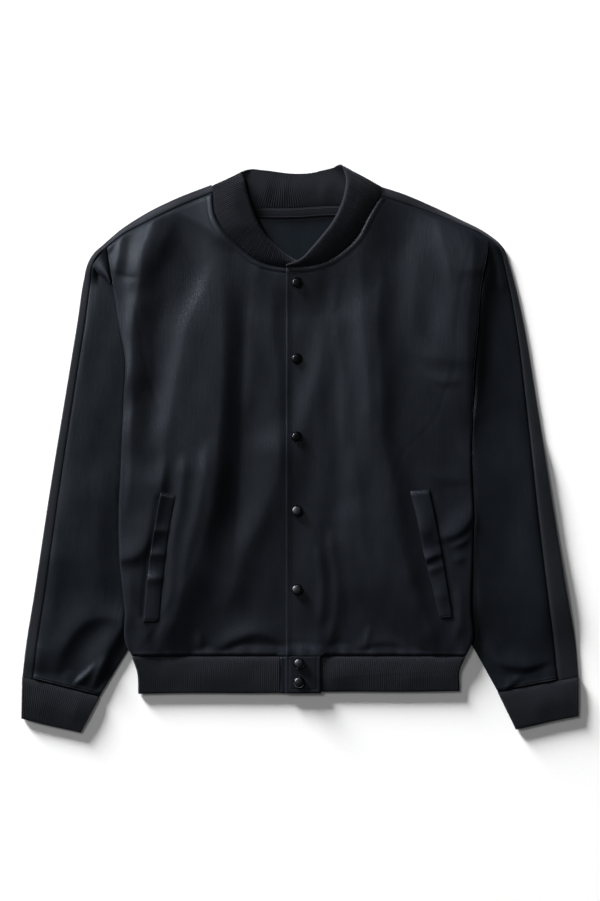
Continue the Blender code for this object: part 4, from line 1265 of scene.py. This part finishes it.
def collar_lines():
    """The collar's seam and folded edge, from its right end to its left end."""
    arms = {}
    for side in SIDES:
        seam = spaced(moved(neck_line(side), 3 * SEAM, -side_sign(side)), COLLAR_KEYS)
        seam = lifted(seam, front_base(side, seam[:, 0], seam[:, 1]) - COLLAR_SINK)
        arms[side] = seam, spaced(smooth(COLLAR_EDGE[side]), COLLAR_KEYS)
    behind_seam = lifted(spaced(back_neck_line() + (0, 2 * SEAM), COLLAR_KEYS), RIB_LOW_Z)
    behind_edge = spaced(smooth(COLLAR_EDGE["back"]), COLLAR_KEYS)
    lines = []
    for part, behind in enumerate((behind_seam, behind_edge)):
        right, left = (arms[side][part] for side in SIDES)
        turn_right, turn_left = (COLLAR_TURN[side][part] for side in SIDES)
        lines.append(smooth(np.vstack([right[::-1], turn_right, behind, turn_left, left])))
    return lines


def collar(look):
    """The collar: a folded rib band that turns over at each shoulder."""
    seam, edge = collar_lines()
    reach = distances(lerp(seam, edge, COLLAR_MIDDLE))
    at = np.linspace(0, reach[-1], COLLAR_COLUMNS)
    seam, edge = (read_at(line, reach, at) for line in (seam, edge))
    roll, fall = np.array(COLLAR_ROLL).T
    share = np.concatenate([np.linspace(0, 2 * roll[0] - roll[1], COLLAR_ROWS), roll])[:, None, None]
    grid = lerp(seam[None], edge[None], share)
    grid[..., 2] += COLLAR_SWELL * fullness(share[..., 0])
    grid[..., 2] += relief(COLLAR_CREASES, grid[..., 0], grid[..., 1]) * np.sin(math.pi * share[..., 0])
    standing = np.clip((edge[:, 2] - 2 * RIB) / COLLAR_STANDS, 0, 1)
    grid[-len(fall):, :, 2] -= fall[:, None] * standing
    return cloth("collar", ribbed(grid, "collar"), RIB, look)


def tape_grid():
    """Points of the neck tape, from its edge on the collar down."""
    line = back_neck_line()[TAPE_INSET:-TAPE_INSET]
    height = back_height(line[:, 0], line[:, 1]) + BACK_RELIEF + (CLOTH + TAPE) / 2 + TAPE_AIR
    rows = [lifted(line - (0, drop), height + TAPE_SWELL * math.sin(math.pi * i / TAPE_ROWS))
            for i, drop in enumerate(np.linspace(*TAPE_EDGES, TAPE_ROWS + 1))]
    return np.stack(rows)


def neck_tape(look):
    """The tape over the back neck seam, inside."""
    return cloth("neck_tape", tape_grid(), TAPE, look)


def welt_grid(side):
    """Points of a welt, from the pocket's opening to its sewn edge."""
    opening = spaced(smooth([row[:2] for row in WELT[side]]), WELT_ROWS)
    sewn = spaced(smooth([row[2:] for row in WELT[side]]), WELT_ROWS)
    share = np.linspace(0, 1, WELT_COLUMNS + 1)[None, :, None]
    flat = lerp(opening[:, None], sewn[:, None], share)
    x, y = flat[..., 0], flat[..., 1]
    raised = WELT_PUFF * np.sin(math.pi * np.clip(1 - share[..., 0], 0, 1) ** WELT_LEAN)
    creases = relief(WELT_CREASES[side], x, y) - ripple(x, y)  # the front has those waves already
    return lifted(flat, front_base(side, x, y) + lerp(*WELT_LIFT, share[..., 0]) + raised + creases)


def pocket_welt(side, look):
    """A welt on a front, stitched across its two ends."""
    grid = welt_grid(side)
    down = np.linspace(0, 1, len(grid))[:, None] * (grid[-1, :, 1] - grid[0, :, 1]).mean()
    edge = np.minimum(np.abs(down), np.abs(down[-1] - down))
    grid[..., 2] -= STITCH_GROOVE * bell(edge - WELT_STITCH, STITCH_WIDTH)
    grid[..., 2] -= WELT_ROLL * (1 - ramp(edge, 0, WELT_STITCH))
    return cloth("pocket_welt_" + side, grid, CLOTH, look)


def snap(number, x, y, look):
    """A snap cap, its profile turned about its axis: a low dome with a rounded rim."""
    dx, dy = SNAP_R * np.array([(0, 0), (1, 0), (-1, 0), (0, 1), (0, -1)]).T
    base = front_surface("left", x + dx, y + dy).max() + CLOTH / 2
    if y < HEM_TOP:
        base = OVER_BLOCK_Z + BLOCK / 2 + BLOCK_SWELL
    profile = smooth(SNAP_PROFILE, SNAP_STEPS) * (SNAP_R, SNAP_H)
    angles = np.arange(SNAP_SIDES) * math.tau / SNAP_SIDES
    r, z = profile[:, 0][:, None], profile[:, 1][:, None]
    lean = SNAP_LEAN[number - 1]
    across, up = r * np.cos(angles), r * np.sin(angles)
    height = base + SNAP_AIR + z + abs(lean) * SNAP_R + lean * (across - up) * math.sqrt(0.5)
    points = np.stack([x + across, y + up, height], axis=-1)
    faces = grid_faces(len(profile), SNAP_SIDES, ring=True)
    piece = mesh_of(f"snap_cap_{number}", points.reshape(-1, 3), faces)
    piece.data.materials.append(look)
    stand_for(piece, f"snap_{number}")
    return piece


# ---- materials --------------------------------------------------------------------------------

def add(tree, kind, inputs=None, **settings):
    """Add a shader node; an input is a value or another node's output."""
    node = tree.nodes.new(kind)
    for key, value in settings.items():
        setattr(node, key, value)
    for key, value in (inputs or {}).items():
        if isinstance(value, bpy.types.NodeSocket):
            tree.links.new(value, node.inputs[key])
        else:
            node.inputs[key].default_value = value
    return node


def new_material(name, roughness, specular, sheen=0.0, sheen_roughness=0.5):
    """A Principled material with its constant values set; returns it, its tree and shader."""
    made = bpy.data.materials.new(name)
    made.use_nodes = True
    shader = made.node_tree.nodes["Principled BSDF"]
    shader.inputs["Roughness"].default_value = roughness
    shader.inputs["Specular IOR Level"].default_value = specular
    shader.inputs["Sheen Weight"].default_value = sheen
    shader.inputs["Sheen Roughness"].default_value = sheen_roughness
    shader.inputs["Specular Tint"].default_value = (*SPECULAR_TINT, 1.0)
    return made, made.node_tree, shader


def cloth_position(tree, across, along):
    """The cloth's own millimetres, scaled across and along its length."""
    maps = add(tree, "ShaderNodeUVMap", uv_map=CLOTH_MAP)
    scale = add(tree, "ShaderNodeMapping", {"Vector": maps.outputs["UV"], "Scale": (across, along, 1.0)})
    return scale.outputs["Vector"]


def noise(tree, across, along):
    """A cloud of values 0 to 1 whose blotches have a size in millimetres across and along."""
    place = cloth_position(tree, 1 / across, 1 / along)
    made = add(tree, "ShaderNodeTexNoise", {"Vector": place, "Scale": 1.0, "Detail": NOISE_DETAIL})
    return made.outputs["Fac"]


def stripes(tree, pitch, direction):
    """A wave of values 0 to 1 across the cloth's x or y, with a pitch in millimetres."""
    place = cloth_position(tree, 1.0, 1.0)
    made = add(tree, "ShaderNodeTexWave", {"Vector": place, "Scale": WAVE_TURN / pitch},
               wave_type="BANDS", bands_direction=direction, wave_profile="SIN")
    return made.outputs["Fac"]


def spread(tree, value, low, high):
    """Map the usual values of a cloud to a range."""
    made = add(tree, "ShaderNodeMapRange", {"Value": value, "From Min": CLOUD_RANGE[0],
                                            "From Max": CLOUD_RANGE[1], "To Min": low, "To Max": high})
    return made.outputs["Result"]


def clouds(tree, across, along, low, high):
    """Values of a range in blotches of a size on the cloth."""
    return spread(tree, noise(tree, across, along), low, high)


def grain(tree, scale, detail=2.0):
    """A cloud of values 0 to 1 that stays with the object, with its blotches to the metre."""
    place = add(tree, "ShaderNodeTexCoord").outputs["Object"]
    made = add(tree, "ShaderNodeTexNoise", {"Vector": place, "Scale": scale, "Detail": detail})
    return made.outputs["Fac"]


def combined(tree, operation, first, second):
    """Two values, each a number or an output, in one."""
    return add(tree, "ShaderNodeMath", {0: first, 1: second}, operation=operation).outputs["Value"]


def paint(tree, shader, colour, brightness):
    """Give a material a colour whose brightness changes from place to place."""
    made = add(tree, "ShaderNodeVectorMath", {0: colour, 1: brightness}, operation="MULTIPLY")
    tree.links.new(made.outputs["Vector"], shader.inputs["Base Color"])


def emboss(tree, shader, height, depth):
    """Give a material small relief from values 0 to 1, with a depth in millimetres."""
    made = add(tree, "ShaderNodeBump", {"Height": height, "Distance": depth * MM, "Strength": 1.0})
    tree.links.new(made.outputs["Normal"], shader.inputs["Normal"])


def tricot(name):
    """Satin tricot: fine wales, long faint streaks and a soft sheen."""
    colour, roughness, specular = TRICOTS[name]
    made, tree, shader = new_material(name, roughness, specular, TRICOT_SHEEN)
    shader.inputs["Sheen Tint"].default_value = (*SHEEN_TINT, 1.0)
    brightness = combined(tree, "MULTIPLY", clouds(tree, *TRICOT_CLOUDS), clouds(tree, *TRICOT_STREAKS))
    paint(tree, shader, colour, brightness)
    rough = clouds(tree, *TRICOT_GLOSS, roughness - GLOSS_RANGE, roughness + GLOSS_RANGE)
    tree.links.new(rough, shader.inputs["Roughness"])
    wales = combined(tree, "MULTIPLY", stripes(tree, WALE_PITCH, "X"), WALE_SHARE)
    slubs = combined(tree, "MULTIPLY", noise(tree, *SLUBS), SLUB_SHARE)
    emboss(tree, shader, combined(tree, "ADD", wales, slubs), TRICOT_RELIEF)
    return made


def knit(name):
    """Matt rib knit: wales across courses, with a slight fuzz."""
    roughness, specular, wale, course = KNITS[name]
    made, tree, shader = new_material(name, roughness, specular, KNIT_SHEEN, KNIT_SHEEN_ROUGHNESS)
    shader.inputs["Sheen Tint"].default_value = (*SHEEN_TINT, 1.0)
    brightness = combined(tree, "MULTIPLY", clouds(tree, *KNIT_CLOUDS), clouds(tree, *KNIT_FUZZ))
    paint(tree, shader, CHARCOAL, brightness)
    loops = combined(tree, "MULTIPLY", stripes(tree, wale, "X"), stripes(tree, course, "Y"))
    tooth = combined(tree, "MULTIPLY", noise(tree, *TOOTH), TOOTH_SHARE)
    emboss(tree, shader, combined(tree, "ADD", loops, tooth), KNIT_RELIEF)
    return made


def enamel():
    """Black nickel with faint wear."""
    made, tree, shader = new_material("black_enamel", METAL_ROUGHNESS, METAL_SPECULAR)
    shader.inputs["Metallic"].default_value = 1.0
    wear = grain(tree, METAL_GRAIN, METAL_DETAIL)
    tree.links.new(spread(tree, wear, *METAL_WEAR), shader.inputs["Roughness"])
    paint(tree, shader, METAL, spread(tree, wear, *METAL_TONES))
    return made


def thread():
    """Twisted polyester thread."""
    made, tree, shader = new_material("sewing_thread", THREAD_ROUGHNESS, THREAD_SPECULAR, THREAD_SHEEN)
    scale, low, high = THREAD_GRAIN
    paint(tree, shader, THREAD, spread(tree, grain(tree, scale), low, high))
    return made


def floor_paper():
    """Plain white paper."""
    made, tree, shader = new_material("floor_paper", PAPER_ROUGHNESS, 0.0)
    scale, low, high = PAPER_GRAIN
    paint(tree, shader, PAPER, spread(tree, grain(tree, scale), low, high))
    return made


# ---- stitching --------------------------------------------------------------------------------

def on_front(side, line):
    """A line of flat points, lifted to the thread's place on a front."""
    line = np.asarray(line, float)
    line = spaced(line, max(ROW_LEGS, int(distances(line)[-1] / ROW_STEP)))
    height = front_surface(side, line[:, 0], line[:, 1])
    return lifted(line, height + CLOTH / 2 + STITCH_LIFT)


def front_rows(side):
    """Stitching beside the neck seam and the hem of a front, and beside the placket's edge."""
    sign = side_sign(side)
    hem_y, end = HEM_TOP + HEM_BAND, SIDE_EDGE[side][0][0] - sign * HEM_ROW_INSET
    rows = [on_front(side, moved(neck_line(side), NECK_BAND, sign)[NECK_ROW]),
            on_front(side, [(HEM_ROW_START[side], hem_y), (end, hem_y)])]
    if side == "left":
        rows.append(on_front(side, [(FRONT_EDGE + PLACKET_BAND, y) for y in PLACKET_ROW]))
    return rows


def row_across(grid, from_end):
    """The line across a grid of points, this far from its last row."""
    columns = grid[::-1].transpose(1, 0, 2)
    return np.vstack([read_at(column, distances(column), from_end) for column in columns])


def welt_rows(side):
    """Stitching across the two ends of a welt."""
    grid = welt_grid(side)[:, 1:-1]
    above = (0, 0, CLOTH / 2 - STITCH_GROOVE + STITCH_LIFT)
    return [row_across(part, WELT_STITCH) + above for part in (grid, grid[::-1])]


def cuff_row(side):
    """Stitching on a sleeve, beside its cuff."""
    grid = sleeve_front(side, sleeve_layers(side)[0])[:, 1:-2]
    return row_across(grid, HEM_BAND) + (0, 0, CLOTH / 2 + STITCH_LIFT)


def tape_rows():
    """Stitching along both edges of the neck tape."""
    return [row + (0, 0, TAPE / 2 + STITCH_LIFT) for row in tape_grid()[[1, -2]]]


def block_row():
    """Stitching round the outer block."""
    x0, x1 = FRONT_EDGE + BLOCK_STITCH, BLOCK_END["left"] - BLOCK_STITCH
    y0, y1 = HEM_TOP, HEM_BOTTOM + BLOCK_STITCH
    height = OVER_BLOCK_Z + BLOCK_SWELL + BLOCK / 2 - STITCH_GROOVE + STITCH_LIFT
    return lifted(spaced([(x0, y0), (x0, y1), (x1, y1), (x1, y0)], BLOCK_ROW_LEGS), height)


def stitching(look):
    """All the stitching that shows."""
    lines = tape_rows() + [block_row()]
    for side in SIDES:
        lines += front_rows(side) + welt_rows(side) + [cuff_row(side)]
    return stitches("stitching", lines, look)


# ---- light and camera -------------------------------------------------------------------------

def area_light(name, place, size, power, glossy=True):
    """A round light at a place in metres, turned to the middle of the jacket."""
    data = bpy.data.lights.new(name, "AREA")
    data.shape = "DISK"
    data.size = size
    data.energy = power
    lamp = placed(name, data)
    lamp.location = place
    lamp.rotation_euler = (-Vector(place)).to_track_quat("-Z", "Y").to_euler()
    lamp.visible_glossy = glossy
    lamp.visible_camera = False


def round_about(elevation, azimuth, distance):
    """A place in metres, from the collar's direction round to the jacket's right."""
    away = math.cos(elevation) * distance
    return -away * math.sin(azimuth), away * math.cos(azimuth), distance * math.sin(elevation)


def set_floor():
    """The white floor."""
    mesh = bpy.data.meshes.new("floor")
    corners = ((-1, -1), (1, -1), (1, 1), (-1, 1))
    mesh.from_pydata([(x * FLOOR_REACH, y * FLOOR_REACH, FLOOR_Z) for x, y in corners], [], [(0, 1, 2, 3)])
    mesh.materials.append(floor_paper())
    placed("floor", mesh)


def set_light():
    """A low key light from the upper left, a softbox for the sheen and a little light all round."""
    key = round_about(KEY_ELEVATION, KEY_AZIMUTH, KEY_DISTANCE)
    area_light("key", key, KEY_SIZE, KEY_POWER, glossy=False)
    area_light("softbox", round_about(BOX_ELEVATION, BOX_AZIMUTH, BOX_DISTANCE), BOX_SIZE, BOX_POWER)
    world = bpy.data.worlds.new("studio")
    world.use_nodes = True
    background = world.node_tree.nodes["Background"]
    background.inputs["Color"].default_value = (1.0, 1.0, 1.0, 1.0)
    background.inputs["Strength"].default_value = WORLD_LIGHT
    world.cycles_visibility.glossy = False
    bpy.context.scene.world = world
    bpy.context.scene.view_settings.view_transform = "Standard"


def set_camera():
    """The camera straight above."""
    data = bpy.data.cameras.new("camera")
    data.lens = LENS
    data.sensor_width = SENSOR
    camera = placed("camera", data)
    camera.location = (*(c * MM for c in CAMERA_OVER), CAMERA_HEIGHT)
    bpy.context.scene.camera = camera


def main():
    """Build the jacket and its stage."""
    body, arms = tricot("tricot_body"), tricot("tricot_sleeves")
    band, flat_knit = knit("rib_knit"), knit("stripe_knit")
    metal = enamel()
    back(body, tricot("tricot_inside"))
    for side in SIDES:
        front(side, body)
        sleeve(side, arms)
        stripe(side, flat_knit)
        cuff(side, band)
        hem_block(side, body)
        pocket_welt(side, body)
    hem_rib(band)
    collar(band)
    neck_tape(knit("tape_knit"))
    stitching(thread())
    for number, (x, y) in enumerate(SNAPS, 1):
        snap(number, x, y, metal)
    set_floor()
    set_light()
    set_camera()


main()
